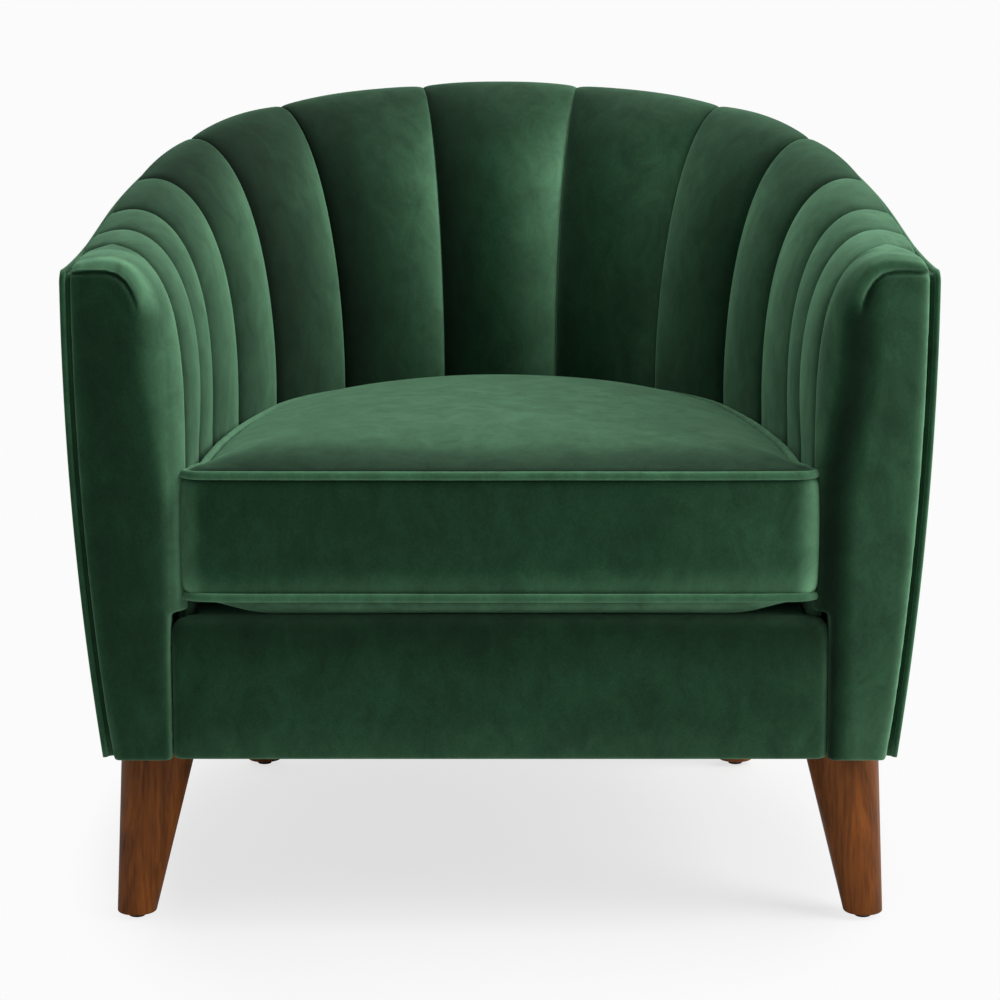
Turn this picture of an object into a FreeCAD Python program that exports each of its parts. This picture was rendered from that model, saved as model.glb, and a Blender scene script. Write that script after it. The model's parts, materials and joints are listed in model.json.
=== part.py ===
import FreeCAD, Part
import os
from math import asin, ceil, copysign, cos, degrees, pi, sin, sqrt

# Channel-back lounge chair with a loose seat cushion.
# Millimetres, +Z up, the chair faces -Y, and the left side is at -X, as seen from the front.
# The origin is on the floor, under the middle of the outer box.

V = FreeCAD.Vector

# Overall sizes
overall_width = 800.0
overall_depth = 720.0
body_bottom_z = 166.0
running_gap = 0.3
angle_step = 0.01
station_step = 0.02

# Welts: round cord under the cover, along the outer edge and around the cushion
welt_radius = 3.5
welt_drop = 10.0
welt_gap = 0.8
welt_side_levels = (0.35, 0.68)
welt_first_back = 62.0
welt_points = 22
welt_middle_run = 60.0
welt_sides = 8
welt_turn_step = 0.35
arc_reach_share = 0.45
rim_half_width = overall_width / 2 - 2 * welt_radius - welt_gap
rim_depth = overall_depth - 2 * welt_radius - welt_gap
front_y = -overall_depth / 2

# The barrel in plan: a superellipse at the seat line, at the rim and at the bottom edge
seat_z = 441.0
arm_width = 113.0
back_depth = 144.0
bottom_side_inset = 38.0
bottom_back_inset = 20.0
seat_half_width = overall_width / 2 - arm_width
seat_depth = overall_depth - back_depth
seat_squareness = 2.6
rim_squareness = 2.5
bottom_half_width = overall_width / 2 - bottom_side_inset
bottom_depth = overall_depth - bottom_back_inset
bottom_squareness = 3.0
shell_bow = 8.5

# Rim height: level along the arms, then rising to the middle of the back
arm_rim_z = 625.0
rim_rise = 118.0
rise_steepness = 1.2

# Channels: their seams as shares of the way from the middle of the back to the arm front
seams_at_seat = (0.0813, 0.2412, 0.4093, 0.5582, 0.7098, 0.8283, 0.9702)
seams_at_rim = (0.0937, 0.2897, 0.4672, 0.6218, 0.7285, 0.8015, 0.8668)
channel_bottom_z = 296.0
seam_gap = 0.35
crown_share_at_seat = 0.02
crown_share_midway = 0.075
crown_share_at_rim = 0.028
pad_at_seat = 34.0
pad_at_rim = 12.0
channel_steps = 16
crown_chords = 6
rim_bow_start = 0.45

# The roll of a seam: how high its wall stays upright and where it turns over, arm to back
upright_share_arm = 0.35
upright_share_back = 0.41
turn_share_arm = -0.11
turn_share_back = 0.43
turn_lift_arm = 45.0
turn_lift_back = -2.0

# Arm fronts
arm_step_width = 17.0
arm_inner_bottom_x = seat_half_width + arm_step_width
arm_step_z = 306.0
arm_corner_radius = 10.0
arm_edge_round = 9.0
arm_inner_round = 30.0
arm_pad = 34.0
arm_top_pad = 22.0
arm_pad_length = 160.0
arm_round_steps = 4
arm_profile_stations = (0.0, 0.2, 0.35, 0.47, 0.58, 0.68, 0.77, 0.85, 0.92)
arm_top_fall = 1.0
arm_back_sink = 4.6
arm_cover_gap = 0.7

# Outside covers and their stiff boards
cover_thickness = 4.0
cover_top_drop = 15.0
back_panel_seam_angle = 0.78
cover_stations = 7
cover_levels = 5

# Frame
frame_bottom_z = 172.0
rail_height = 68.0
rail_thickness = 22.0
frame_inset = 8.0
ring_thickness = 22.0
ring_inner_inset = 12.0
panel_thickness = 18.0
front_rail_thickness = 25.0
board_thickness = 6.0
board_lap = 2.0
level_halvings = 20
ring_points = 12
board_levels_above_seat = (0.0, 30.0, 60.0)
top_rail_thickness = 22.0
top_rail_inner_share_arm = 0.5
top_rail_inner_share_back = 0.6
top_rail_outer_gap = 10.0
top_rail_drop = 36.0
back_rail_drop = 62.0
post_width = 44.0
post_depth = 24.0
post_seams = (2, 3, 4, 6)
top_rail_split_seam = 3

# Seat deck
web_width = 60.0
web_thickness = 2.0
web_count = 5
web_end_share = 0.5
web_pitch = 2 * seat_half_width / (web_count + web_end_share)
web_first_back = 60.0
web_overlap = 30.0
deck_inset = 5.0
deck_top_gap = 0.3
deck_cloth_thickness = 1.2
dust_cover_thickness = 1.2

# Front border
border_side_gap = 0.5
border_half_width = arm_inner_bottom_x - border_side_gap
border_front_inset = 3.0
border_top_z = 305.0
border_round = 16.0
border_corner_round = 12.0
border_top_thickness = 8.0
border_depth = 92.0
notch_spare = 6.0

# Seat cushion
cushion_side_gap = 13.0
cushion_back_gap = 18.0
cushion_front_inset = 3.0
cushion_front_corner = 26.0
cord_joint_gap = 0.6
cushion_back_draw_in = 51.0
cushion_back_radius = seat_half_width - cushion_back_draw_in
cushion_chords = (1, 3, 5, 16, 5, 3)
cushion_bottom_welt_z = 326.0
cushion_top_welt_z = 440.0
cushion_top_crown = 27.0
cushion_bottom_crown = 18.0
cushion_draw_in = 8.0
cushion_draw_in_midway = 2.0
cushion_welt_gap = 1.2
crown_reach = 215.0
crown_steps = 5
crown_spacing = 1.5
cover_wadding = 10.0
core_top_share = 0.35

# Zip at the back of the cushion
zip_reach_share = 0.636
zip_half_length = zip_reach_share * cushion_back_radius
zip_height = 24.0
zip_thickness = 1.2
slider_length = 12.0
slider_height = 9.0
slider_thickness = 2.6
slider_end_gap = 2.0

# Legs and their fixings
leg_top_radius = 33.5
leg_foot_radius = 18.5
glide_radius = 8.0
glide_height = 5.0
glide_stem_radius = 2.5
glide_stem_length = 15.0
leg_sides = 32
front_leg_inset = 80.5
rear_leg_inset = 164.0
rear_leg_from_back = 168.0
front_leg_x = overall_width / 2 - front_leg_inset
front_leg_back = 80.0
rear_leg_x = overall_width / 2 - rear_leg_inset
rear_leg_back = overall_depth - rear_leg_from_back
leg_splay = 26.0
rear_leg_rake = 51.0
pin_sides = 20
block_thickness = 40.0
block_reach = 62.0
stud_radius = 4.0
stud_in_leg = 45.0
stud_above_block = 8.0
hole_gap = 0.1
nut_barrel_radius = 5.5
nut_flange_radius = 11.0
nut_flange_thickness = 1.6
nut_barrel_length = 14.0
dowel_radius = 3.0
dowel_length = 24.0
dowel_offset = 19.0
leg_hole_gap = 4.0

ring_bottom_z = frame_bottom_z + rail_height
block_top_z = frame_bottom_z + block_thickness
ring_top_z = ring_bottom_z + ring_thickness
seam_count = len(seams_at_seat)
walk_steps = 4500
half_root = sqrt(0.5)
cushion_low_z = cushion_bottom_welt_z - cushion_bottom_crown


# Plan curves


def spread(first, last, count):
    return [between(first, last, step / (count - 1)) for step in range(count)]


def between(low, high, share):
    return low + (high - low) * share


def plan_point(half_width, depth, squareness, angle, z=0.0):
    """Point of a plan superellipse; angle 0 is the right arm front, pi/2 the middle of the back."""
    level = cos(angle)
    x = half_width * copysign(abs(level) ** (2 / squareness), level)
    y = depth * sin(angle) ** (2 / squareness)
    return V(x, front_y + y, z)


def seat_point(angle, inset=0.0, z=seat_z):
    return plan_point(seat_half_width - inset, seat_depth - inset, seat_squareness, angle, z)


def rim_height(y):
    share = min(max((y - front_y) / rim_depth, 0.0), 1.0)
    return arm_rim_z + rim_rise * (1 - cos(pi * share**rise_steepness)) / 2


def rim_point(angle, inset=0.0):
    point = plan_point(rim_half_width - inset, rim_depth - inset, rim_squareness, angle)
    point.z = rim_height(point.y)
    return point


def shell_point(angle, z, inset=0.0):
    """Point of the outside face, which leans out from the bottom edge to the rim."""
    rim = rim_point(angle)
    low = plan_point(bottom_half_width, bottom_depth, bottom_squareness, angle, body_bottom_z)
    share = (z - body_bottom_z) / (rim.z - body_bottom_z)
    bow = 4 * shell_bow * share * (1 - share)
    return low + (rim - low) * share + shell_normal(angle) * (bow - inset)


def shell_normal(angle):
    """Horizontal direction out of the barrel at a plan angle of the rim."""
    before = rim_point(max(angle - angle_step, 0.0))
    after = rim_point(min(angle + angle_step, pi / 2))
    along = V(after.x - before.x, after.y - before.y, 0)
    return V(along.y, -along.x, 0).normalize()


def angles_at(shares, curve):
    """Plan angles at shares of a curve's length from the middle of the back to the arm front."""
    angles = spread(pi / 2, 0.0, walk_steps + 1)
    points = [curve(angle) for angle in angles]
    walked = [0.0]
    for here, there in zip(points, points[1:]):
        walked.append(walked[-1] + sqrt((there.x - here.x) ** 2 + (there.y - here.y) ** 2))
    found = []
    for share in shares:
        passed = [angle for angle, length in zip(angles, walked) if length >= share * walked[-1]]
        found.append(passed[0])
    return found


# Seams between the channels: seam 1 is the nearest to the middle of the back


def seam_ends():
    seat_angles = angles_at(seams_at_seat, seat_point)
    rim_angles = angles_at(seams_at_rim, rim_point)
    return [(seat_point(low), rim_point(high)) for low, high in zip(seat_angles, rim_angles)]


def flipped(point):
    return V(-point.x, point.y, point.z)


right_seams = seam_ends()
arm_seam = right_seams[-1]


def other_side(seam):
    return (flipped(seam[0]), flipped(seam[1]))


def rise_share(seam):
    return (seam[1].z - arm_rim_z) / rim_rise


def wall_point(seam, station):
    """Station -1 is the lower end, 0 the seat line and 1 the rim; the roll is a cubic curve."""
    seat, rim = seam
    if station < 0:
        return V(seat.x, seat.y, seat_z + station * (seat_z - channel_bottom_z))
    rise = rise_share(seam)
    upright = between(upright_share_arm, upright_share_back, rise)
    turn = between(turn_share_arm, turn_share_back, rise)
    lift = between(turn_lift_arm, turn_lift_back, rise)
    second = V(seat.x, seat.y, between(seat_z, rim.z, upright))
    third = seat + (rim - seat) * turn
    third.z = rim.z + lift
    rest = 1 - station
    point = seat * rest**3 + second * (3 * station * rest**2)
    return point + third * (3 * station**2 * rest) + rim * station**3


def wall_direction(seam, station):
    low = max(station - station_step, -1.0)
    high = min(station + station_step, 1.0)
    return (wall_point(seam, high) - wall_point(seam, low)).normalize()


def channel_normal(first, second, station):
    """Direction out of a channel's face, towards whoever sits in the chair."""
    across = wall_point(second, station) - wall_point(first, station)
    along = wall_direction(first, station) + wall_direction(second, station)
    return across.cross(along).normalize()


def pad_depth(station):
    return between(pad_at_seat, pad_at_rim, max(station, 0.0))


def crown_height(width, station):
    share = max(station, 0.0)
    low = crown_share_at_seat * (1 - share) ** 2
    middle = crown_share_midway * 4 * share * (1 - share) * (1 - share**3)
    return width * (low + middle + crown_share_at_rim * share**2)


# Channels


def rim_angle(rim):
    """Plan angle of a rim point, past pi/2 on the left side."""
    angle = asin(((rim.y - front_y) / rim_depth) ** (rim_squareness / 2))
    return angle if rim.x > 0 else pi - angle


def rim_bow(first, second, share, station):
    """How far a channel bows out from its chord, so that its end follows the rim."""
    angle = between(rim_angle(first[1]), rim_angle(second[1]), share)
    bow = rim_point(angle) - between(first[1], second[1], share)
    return bow * (max(station - rim_bow_start, 0.0) / (1 - rim_bow_start)) ** 2


def seam_offset(channels, station):
    """Way from a seam to the back of the pads that meet there, at the pad's depth behind both."""
    outs = [channel_normal(first, second, station) for first, second in channels]
    mean = (outs[0] + outs[-1]).normalize()
    return mean * (-pad_depth(station) / mean.dot(outs[0]))


def channel_ring(row, index, station):
    """Section of a channel: its crown in chords from seam to seam, then its back."""
    first, second = row[index], row[index + 1]
    start, end = wall_point(first, station), wall_point(second, station)
    width = (end - start).Length
    out = channel_normal(first, second, station)
    edge = seam_gap / width
    ring = []
    for share in spread(edge, 1 - edge, crown_chords + 1):
        crown = out * (4 * share * (1 - share) * crown_height(width, station))
        ring.append(between(start, end, share) + crown + rim_bow(first, second, share, station))
    bow = rim_bow(first, second, 1 / 2, station)
    middle = (start + end) / 2 - out * pad_depth(station) + bow
    low = max(index - 1, 0)
    high = min(index + 1, len(row) - 2)
    near_offset = seam_offset([(row[low], row[low + 1]), (first, second)], station)
    far_offset = seam_offset([(first, second), (row[high], row[high + 1])], station)
    return ring + [ring[-1] + far_offset, middle, ring[0] + near_offset]


def channel(row, index):
    """Padded channel between two neighbouring seams of the whole row."""
    stations = [-1.0] + spread(0.0, 1.0, channel_steps + 1)
    return faceted([channel_ring(row, index, station) for station in stations], fan_cap)


# Pieces that follow the outside face


side_angles = spread(0.0, back_panel_seam_angle, cover_stations)
back_angles = spread(back_panel_seam_angle, pi / 2, cover_stations)


def faceted(rings, cap):
    """Solid through rings of points, each facet split along its shorter diagonal."""
    faces = cap(rings[0]) + cap(rings[-1])
    for low, high in zip(rings, rings[1:]):
        for index in range(len(low)):
            corners = [low[index - 1], low[index], high[index], high[index - 1]]
            if (corners[0] - corners[2]).Length > (corners[1] - corners[3]).Length:
                corners = corners[1:] + corners[:1]
            faces.append(flat_face(corners[:3]))
            faces.append(flat_face(corners[2:] + corners[:1]))
    return Part.Solid(Part.Shell(faces))


def flat_cap(ring):
    return [flat_face(ring)]


def fan_cap(ring):
    """End of a form whose last section is bowed, as triangles round its middle."""
    middle = sum(ring[1:], ring[0]) / len(ring)
    return [flat_face([middle, ring[index - 1], ring[index]]) for index in range(len(ring))]


def around_back(section, split_angle, count):
    """A piece around the back, from its right end over the middle to its left end."""
    right = [section(angle) for angle in spread(split_angle, pi / 2, count)]
    left = [[flipped(point) for point in points] for points in right[-2::-1]]
    return faceted(right + left, flat_cap)


def cover_section(angle):
    """Upright section of an outside cover, which follows the bow of the outside face."""
    levels = spread(body_bottom_z, rim_point(angle).z - cover_top_drop, cover_levels)
    outer = [shell_point(angle, z) for z in levels]
    inner = [shell_point(angle, z, cover_thickness) for z in levels[::-1]]
    return outer + inner


def outside_curve(inset, z):
    """Points of the outside face at one level, from the right arm front over the back to the left."""
    right = [shell_point(angle, z, inset) for angle in side_angles[:-1] + back_angles]
    return right + [flipped(point) for point in right[-2::-1]]


def flat_piece(outline, thickness):
    """Board cut to an outline and lying flat."""
    return flat_face(outline).extrude(V(0, 0, thickness))


def behind(y):
    """Half space behind a plane across the chair, as a box."""
    size = 2 * overall_width
    return Part.makeBox(size, size, size, V(-size / 2, y, -size / 4))


def mirrored(shape):
    return shape.mirror(V(0, 0, 0), V(1, 0, 0))


def outside_covers():
    seam_half_gap = running_gap / rim_depth
    arm_angles = spread(0.0, back_panel_seam_angle - seam_half_gap, cover_stations)
    arm = faceted([cover_section(angle) for angle in arm_angles], flat_cap)
    arm = arm.common(behind(front_y + 2 * welt_radius + running_gap))
    back = around_back(cover_section, back_panel_seam_angle + seam_half_gap, cover_stations)
    return arm, back


# Frame


def rails():
    """Bottom rails along the outside face, split under the seams of the outside cover."""
    outer = frame_inset
    inner = frame_inset + rail_thickness
    side = [shell_point(angle, frame_bottom_z, outer) for angle in side_angles]
    side += [shell_point(angle, frame_bottom_z, inner) for angle in side_angles[::-1]]
    side_rail = flat_piece(side, rail_height).common(behind(panel_back_y()))
    right = [shell_point(angle, frame_bottom_z, outer) for angle in back_angles]
    left = [shell_point(angle, frame_bottom_z, inner) for angle in back_angles]
    back = right + [flipped(point) for point in right[-2::-1]]
    back += [flipped(point) for point in left] + left[-2::-1]
    return side_rail, flat_piece(back, rail_height)


def panel_front_y():
    return front_y + arm_pad + running_gap


def panel_back_y():
    return panel_front_y() + panel_thickness


def seat_ring():
    """Flat plywood ring that carries the webbing, the boards and the posts."""
    outer = outside_curve(frame_inset, ring_bottom_z)
    angles = spread(0.0, pi / 2, ring_points)
    right = [seat_point(angle, -ring_inner_inset, ring_bottom_z) for angle in angles]
    inner = right + [flipped(point) for point in right[-2::-1]]
    ring = flat_piece(outer + inner[::-1], ring_thickness)
    return ring.common(behind(panel_back_y())).cut(front_rail())


def top_rail_ends(seam):
    """Inner and outer end of a top rail's width over one seam."""
    seat, rim = seam
    run = V(rim.x - seat.x, rim.y - seat.y, 0)
    inner_share = between(top_rail_inner_share_arm, top_rail_inner_share_back, rise_share(seam))
    foot = V(seat.x, seat.y, 0)
    reach = run.Length - top_rail_outer_gap
    return foot + run * inner_share, foot + run.normalize() * reach


def raised(points, z):
    return [V(point.x, point.y, z) for point in points]


def top_rails():
    """Flat rails: one along each arm, and one over the back that stands higher."""
    arm_ends = [top_rail_ends(seam) for seam in right_seams[top_rail_split_seam - 1:][::-1]]
    inner = [V(arm_ends[0][0].x, panel_back_y(), 0)] + [ends[0] for ends in arm_ends[1:]]
    outer = [V(arm_ends[0][1].x, panel_back_y(), 0)] + [ends[1] for ends in arm_ends]
    arm_z = arm_rim_z - top_rail_drop - top_rail_thickness
    arm = flat_piece(raised(inner + outer[::-1], arm_z), top_rail_thickness)
    near = [top_rail_ends(seam) for seam in right_seams[:top_rail_split_seam]][::-1]
    ends = near + [(flipped(low), flipped(high)) for low, high in near[::-1]]
    split_z = right_seams[top_rail_split_seam - 1][1].z
    back_z = split_z - back_rail_drop - top_rail_thickness
    outline = [pair[0] for pair in ends] + [pair[1] for pair in ends[::-1]]
    back = flat_piece(raised(outline, back_z), top_rail_thickness)
    return arm, back


def post_at(number, rails_above):
    """Uprights between the seat ring and the rails above it, behind the board at a seam."""
    seat, rim = right_seams[number - 1]
    near, far = right_seams[number - 2], right_seams[number]
    side = V(far[0].x - near[0].x, far[0].y - near[0].y, 0).normalize()
    out = V(side.y, -side.x, 0)
    if out.dot(V(seat.x, seat.y - front_y, 0)) < 0:
        out = out * -1
    inner_end = top_rail_ends((seat, rim))[0]
    clear = pad_at_seat + board_thickness + board_lap + 2 * running_gap
    reach = (inner_end - V(seat.x, seat.y, 0)).dot(out)
    start = V(seat.x, seat.y, ring_top_z) + out * max(clear, reach)
    corners = [start - side * (post_width / 2), start + side * (post_width / 2)]
    corners += [corners[1] + out * post_depth, corners[0] + out * post_depth]
    post = flat_piece(corners, overall_width).cut(rails_above)
    top = max(solid.BoundBox.ZMin for solid in post.Solids)
    return [solid for solid in post.Solids if solid.BoundBox.ZMin < top]


def wall_at_level(seam, z):
    """Point of a seam at a height, found by halving the stations around it."""
    low = 0.0
    high = 1.0
    for halving in range(level_halvings):
        middle = (low + high) / 2
        if wall_point(seam, middle).z < z:
            low = middle
        else:
            high = middle
    return wall_point(seam, low)


def level_line(seams, depth, z):
    """Line at one height, a level distance behind a run of seams."""
    points = [wall_at_level(seam, z) for seam in seams]
    sides = [points[index + 1] - points[index] for index in range(len(points) - 1)]
    outs = [V(-side.y, side.x, 0).normalize() for side in sides]
    line = []
    for index, point in enumerate(points):
        near = outs[max(index - 1, 0)]
        far = outs[min(index, len(outs) - 1)]
        mean = (near + far).normalize()
        line.append(V(point.x, point.y, z) + mean * (depth / mean.dot(near)))
    return line


def board(seams):
    """Stiff board behind a run of channels, standing on the seat ring."""
    front = pad_at_seat + running_gap
    back = front + board_thickness
    levels = [(seat_z, ring_top_z)]
    levels += [(seat_z + rise, seat_z + rise) for rise in board_levels_above_seat]
    sections = []
    for wall_z, z in levels:
        outline = level_line(seams, front, wall_z) + level_line(seams, back, wall_z)[::-1]
        outline = raised(outline, z)
        sections.append(Part.makePolygon(outline + outline[:1]))
    return Part.makeLoft(sections, True, True)


# Arm fronts


def arm_profile(y, top_inset, inner_inset):
    """Roll of the right arm at one distance from the front, drawn in across its direction."""
    profile = []
    for station in arm_profile_stations:
        point = wall_point(arm_seam, station)
        direction = wall_direction(arm_seam, station)
        level = sqrt(direction.x**2 + direction.y**2)
        inset = between(inner_inset, top_inset, level**2)
        profile.append(V(point.x + inset * direction.z, y, point.z - inset * level))
    return profile


def arm_outline(y, side_inset, top_inset, inner_inset, low_z=body_bottom_z):
    """Outline of the right arm at one distance from the front, drawn in on its three sides."""
    profile = arm_profile(y, top_inset, inner_inset)
    top_z = profile[-1].z - arm_top_fall
    corner = arm_corner_radius
    turn = corner * (1 - half_root)
    inward = cover_thickness + arm_cover_gap + side_inset
    levels = spread(low_z, min(arm_rim_z - cover_top_drop, top_z - 2 * corner), cover_levels)
    side = [V(shell_point(0.0, z).x - inward, y, z) for z in levels]
    top_x = shell_point(0.0, arm_rim_z).x - inward
    knee = V(top_x - corner, y, top_z)
    bend = V(top_x - turn, y, top_z - turn)
    shoulder = V(top_x, y, top_z - corner)
    inner_x = arm_inner_bottom_x + inner_inset / 2
    lower = [V(profile[0].x, y, arm_step_z), V(inner_x, y, arm_step_z), V(inner_x, y, low_z)]
    return side + [shoulder, bend, knee] + profile[::-1] + lower


def round_inset(radius, distance):
    """How far a rounded edge is drawn in at a distance behind the front face."""
    if distance >= radius:
        return 0.0
    return radius - sqrt(radius**2 - (radius - distance) ** 2)


def arm_front():
    steps = range(arm_round_steps + 1)
    depths = [arm_inner_round * (1 - cos(pi / 2 * step / arm_round_steps)) for step in steps]
    rings = []
    for depth in depths:
        edge = round_inset(arm_edge_round, depth)
        inner = round_inset(arm_inner_round, depth)
        rings.append(arm_outline(front_y + depth, edge, edge, inner))
    rings.append(arm_outline(front_y + arm_pad_length, arm_back_sink, 0.0, 0.0))
    form = faceted(rings, flat_cap)
    back = panel_front_y() - running_gap
    hollow = arm_core(back, 0.0, arm_pad_length, -2 * cover_thickness, body_bottom_z - cover_thickness)
    well = Part.makeBox(overall_width / 2, overall_depth, arm_step_z + cover_thickness, V(0, back, 0))
    return form.cut(hollow).cut(well).common(front_of_seam(seam_gap))


def arm_core(start_y, gap, length, side_inset, low_z):
    """The arm without its padding."""
    outline = arm_outline(start_y, side_inset, arm_top_pad + gap, arm_pad + gap, low_z)
    return flat_face(outline).extrude(V(0, length, 0))


def front_of_seam(gap):
    """Space in front of the upright plane through the arm seam, a gap away from it."""
    seat, rim = arm_seam
    run = V(rim.x - seat.x, rim.y - seat.y, 0).normalize()
    back = V(-run.y, run.x, 0)
    start = V(seat.x, seat.y, 0) - back * gap - run * overall_width
    corners = [start, start + run * (2 * overall_width)]
    corners += [corners[1] - back * overall_width, corners[0] - back * overall_width]
    return flat_piece(corners, overall_width)


# Tubes along a path of straight runs and tangent arcs


def round_path(points):
    """Straight runs joined by arcs, each as large as its two runs allow."""
    edges = []
    last = points[0]
    for before, here, after in zip(points, points[1:], points[2:]):
        back = before - here
        ahead = after - here
        reach = arc_reach_share * min(back.Length, ahead.Length)
        start = here + back.normalize() * reach
        end = here + ahead.normalize() * reach
        half_turn = back.getAngle(ahead) / 2
        radius = reach * sin(half_turn) / cos(half_turn)
        to_centre = (back + ahead).normalize()
        middle = here + to_centre * (radius / sin(half_turn) - radius)
        edges.append(Part.LineSegment(last, start).toShape())
        edges.append(Part.Arc(start, middle, end).toShape())
        last = end
    edges.append(Part.LineSegment(last, points[-1]).toShape())
    return Part.Wire(edges)


def path_points(path):
    """Ends of the straight runs and enough points along the arcs."""
    points = [path.Edges[0].valueAt(path.Edges[0].FirstParameter)]
    for edge in path.Edges:
        count = 1
        if isinstance(edge.Curve, Part.Circle):
            count = ceil(edge.Length / edge.Curve.Radius / welt_turn_step)
        points += edge.discretize(count + 1)[1:]
    return points


def cord(points):
    """Round cord through points, as flats around its line; the rings are carried along unturned."""
    directions = [(points[1] - points[0]).normalize()]
    for index in range(1, len(points) - 1):
        before = (points[index] - points[index - 1]).normalize()
        after = (points[index + 1] - points[index]).normalize()
        directions.append((before + after).normalize())
    directions.append((points[-1] - points[-2]).normalize())
    side = directions[0].cross(V(0, 1, 0)).normalize()
    corner_radius = welt_radius / cos(pi / welt_sides)
    rings = []
    for point, direction in zip(points, directions):
        side = (side - direction * side.dot(direction)).normalize()
        up = direction.cross(side)
        ring = []
        for number in range(welt_sides):
            angle = pi * (2 * number + 1) / welt_sides
            ring.append(point + side * (corner_radius * cos(angle)) + up * (corner_radius * sin(angle)))
        rings.append(Part.makePolygon(ring + ring[:1]))
    return Part.makeLoft(rings, True, True)


def outer_welt():
    """Cord up the edge of one arm front, around the rim and down the other."""
    out = welt_radius + welt_gap
    cord_y = front_y + welt_radius
    low_x = shell_point(0.0, body_bottom_z).x + out
    high_x = rim_half_width + out
    top_z = arm_rim_z - welt_drop / 2
    points = [V(low_x, cord_y, body_bottom_z)]
    for share in welt_side_levels:
        z = between(body_bottom_z, top_z, share)
        points.append(V(shell_point(0.0, z).x + out, cord_y, z))
    points.append(V(high_x, cord_y, top_z))
    first_angle = asin((welt_first_back / rim_depth) ** (rim_squareness / 2))
    for angle in spread(first_angle, pi / 2, welt_points)[:-1]:
        rim = rim_point(angle) + shell_normal(angle) * out
        points.append(V(rim.x, rim.y, rim.z - welt_drop))
    back_z = rim_point(pi / 2).z - welt_drop
    points.append(V(welt_middle_run / 2, front_y + rim_depth + out, back_z))
    far = [flipped(point) for point in points[::-1]]
    return cord(path_points(round_path(points + far)))


# Seat deck


def front_rail():
    half_length = arm_inner_bottom_x + arm_pad / 2
    height = ring_top_z - frame_bottom_z
    start = V(-half_length, panel_front_y(), frame_bottom_z)
    return Part.makeBox(2 * half_length, front_rail_thickness, height, start)


def arm_panel():
    """Plywood upright behind the padded arm front."""
    side = frame_inset - cover_thickness - running_gap
    return arm_core(panel_front_y(), running_gap, panel_thickness, side, frame_bottom_z)


def deck_layer(z, thickness):
    """Flat layer under the cushion, behind the turned-back border."""
    layer = Part.Face(cushion_outline(deck_inset, z)).extrude(V(0, 0, thickness))
    return layer.common(behind(front_y + border_depth + running_gap))


def webbing():
    """Elastic straps: the long ones lie under the cross ones."""
    long_straps = []
    cross_straps = []
    for index in range(web_count):
        x = (index - (web_count - 1) / 2) * web_pitch
        start = V(x - web_width / 2, panel_front_y(), ring_top_z)
        long_straps.append(Part.makeBox(web_width, seat_depth, web_thickness, start))
        y = panel_back_y() + web_first_back + index * web_pitch
        start = V(-rim_half_width, y - web_width / 2, ring_top_z + web_thickness)
        cross_straps.append(Part.makeBox(2 * rim_half_width, web_width, web_thickness, start))
    well = Part.Face(cushion_outline(-web_overlap, ring_top_z)).extrude(V(0, 0, 2 * web_thickness))
    return trimmed(long_straps, well), trimmed(cross_straps, well)


def trimmed(pieces, space):
    return Part.makeCompound([solid for piece in pieces for solid in piece.common(space).Solids])


def front_border():
    """Padded border over the front rail, with its top turned back to the deck."""
    front = front_y + border_front_inset
    back = panel_front_y() - running_gap
    low = body_bottom_z
    high = border_top_z
    edge = border_round
    cut = edge * (1 - half_root)
    deep = front_y + border_depth
    under = high - border_top_thickness
    rest = [V(0, front + edge, high), V(0, deep, high), V(0, deep, under), V(0, back, under)]
    rest += [V(0, back, low), V(0, front, low), V(0, front, high - edge)]
    middle = V(0, front + cut, high - cut)
    turn = Part.Arc(rest[-1], middle, rest[0]).toShape()
    profile = Part.Face(Part.Wire(Part.makePolygon(rest).Edges + [turn]))
    profile.translate(V(-border_half_width, 0, 0))
    bar = profile.extrude(V(2 * border_half_width, 0, 0))
    bar = bar.common(border_front_view())
    notch_width = overall_width / 2 - seat_half_width
    notch_z = channel_bottom_z - running_gap
    notch_start = V(seat_half_width - notch_spare, arm_seam[0].y - notch_spare, notch_z)
    notch = Part.makeBox(notch_width, border_depth, border_top_z, notch_start)
    return bar.cut(notch).cut(mirrored(notch))


def border_front_view():
    """Upright outline of the border, with rounded upper corners."""
    half = border_half_width
    edge = border_corner_round
    cut = edge * (1 - half_root)
    y = front_y - edge
    low = body_bottom_z
    high = border_top_z
    right = [V(half, y, high - edge), V(half - cut, y, high - cut), V(half - edge, y, high)]
    left = [flipped(point) for point in right[::-1]]
    edges = Part.makePolygon([left[-1], V(-half, y, low), V(half, y, low), right[0]]).Edges
    edges.append(Part.Arc(*right).toShape())
    edges.append(Part.LineSegment(right[-1], left[0]).toShape())
    edges.append(Part.Arc(*left).toShape())
    return Part.Face(Part.Wire(edges)).extrude(V(0, 2 * overall_depth, 0))


# Seat cushion


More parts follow.
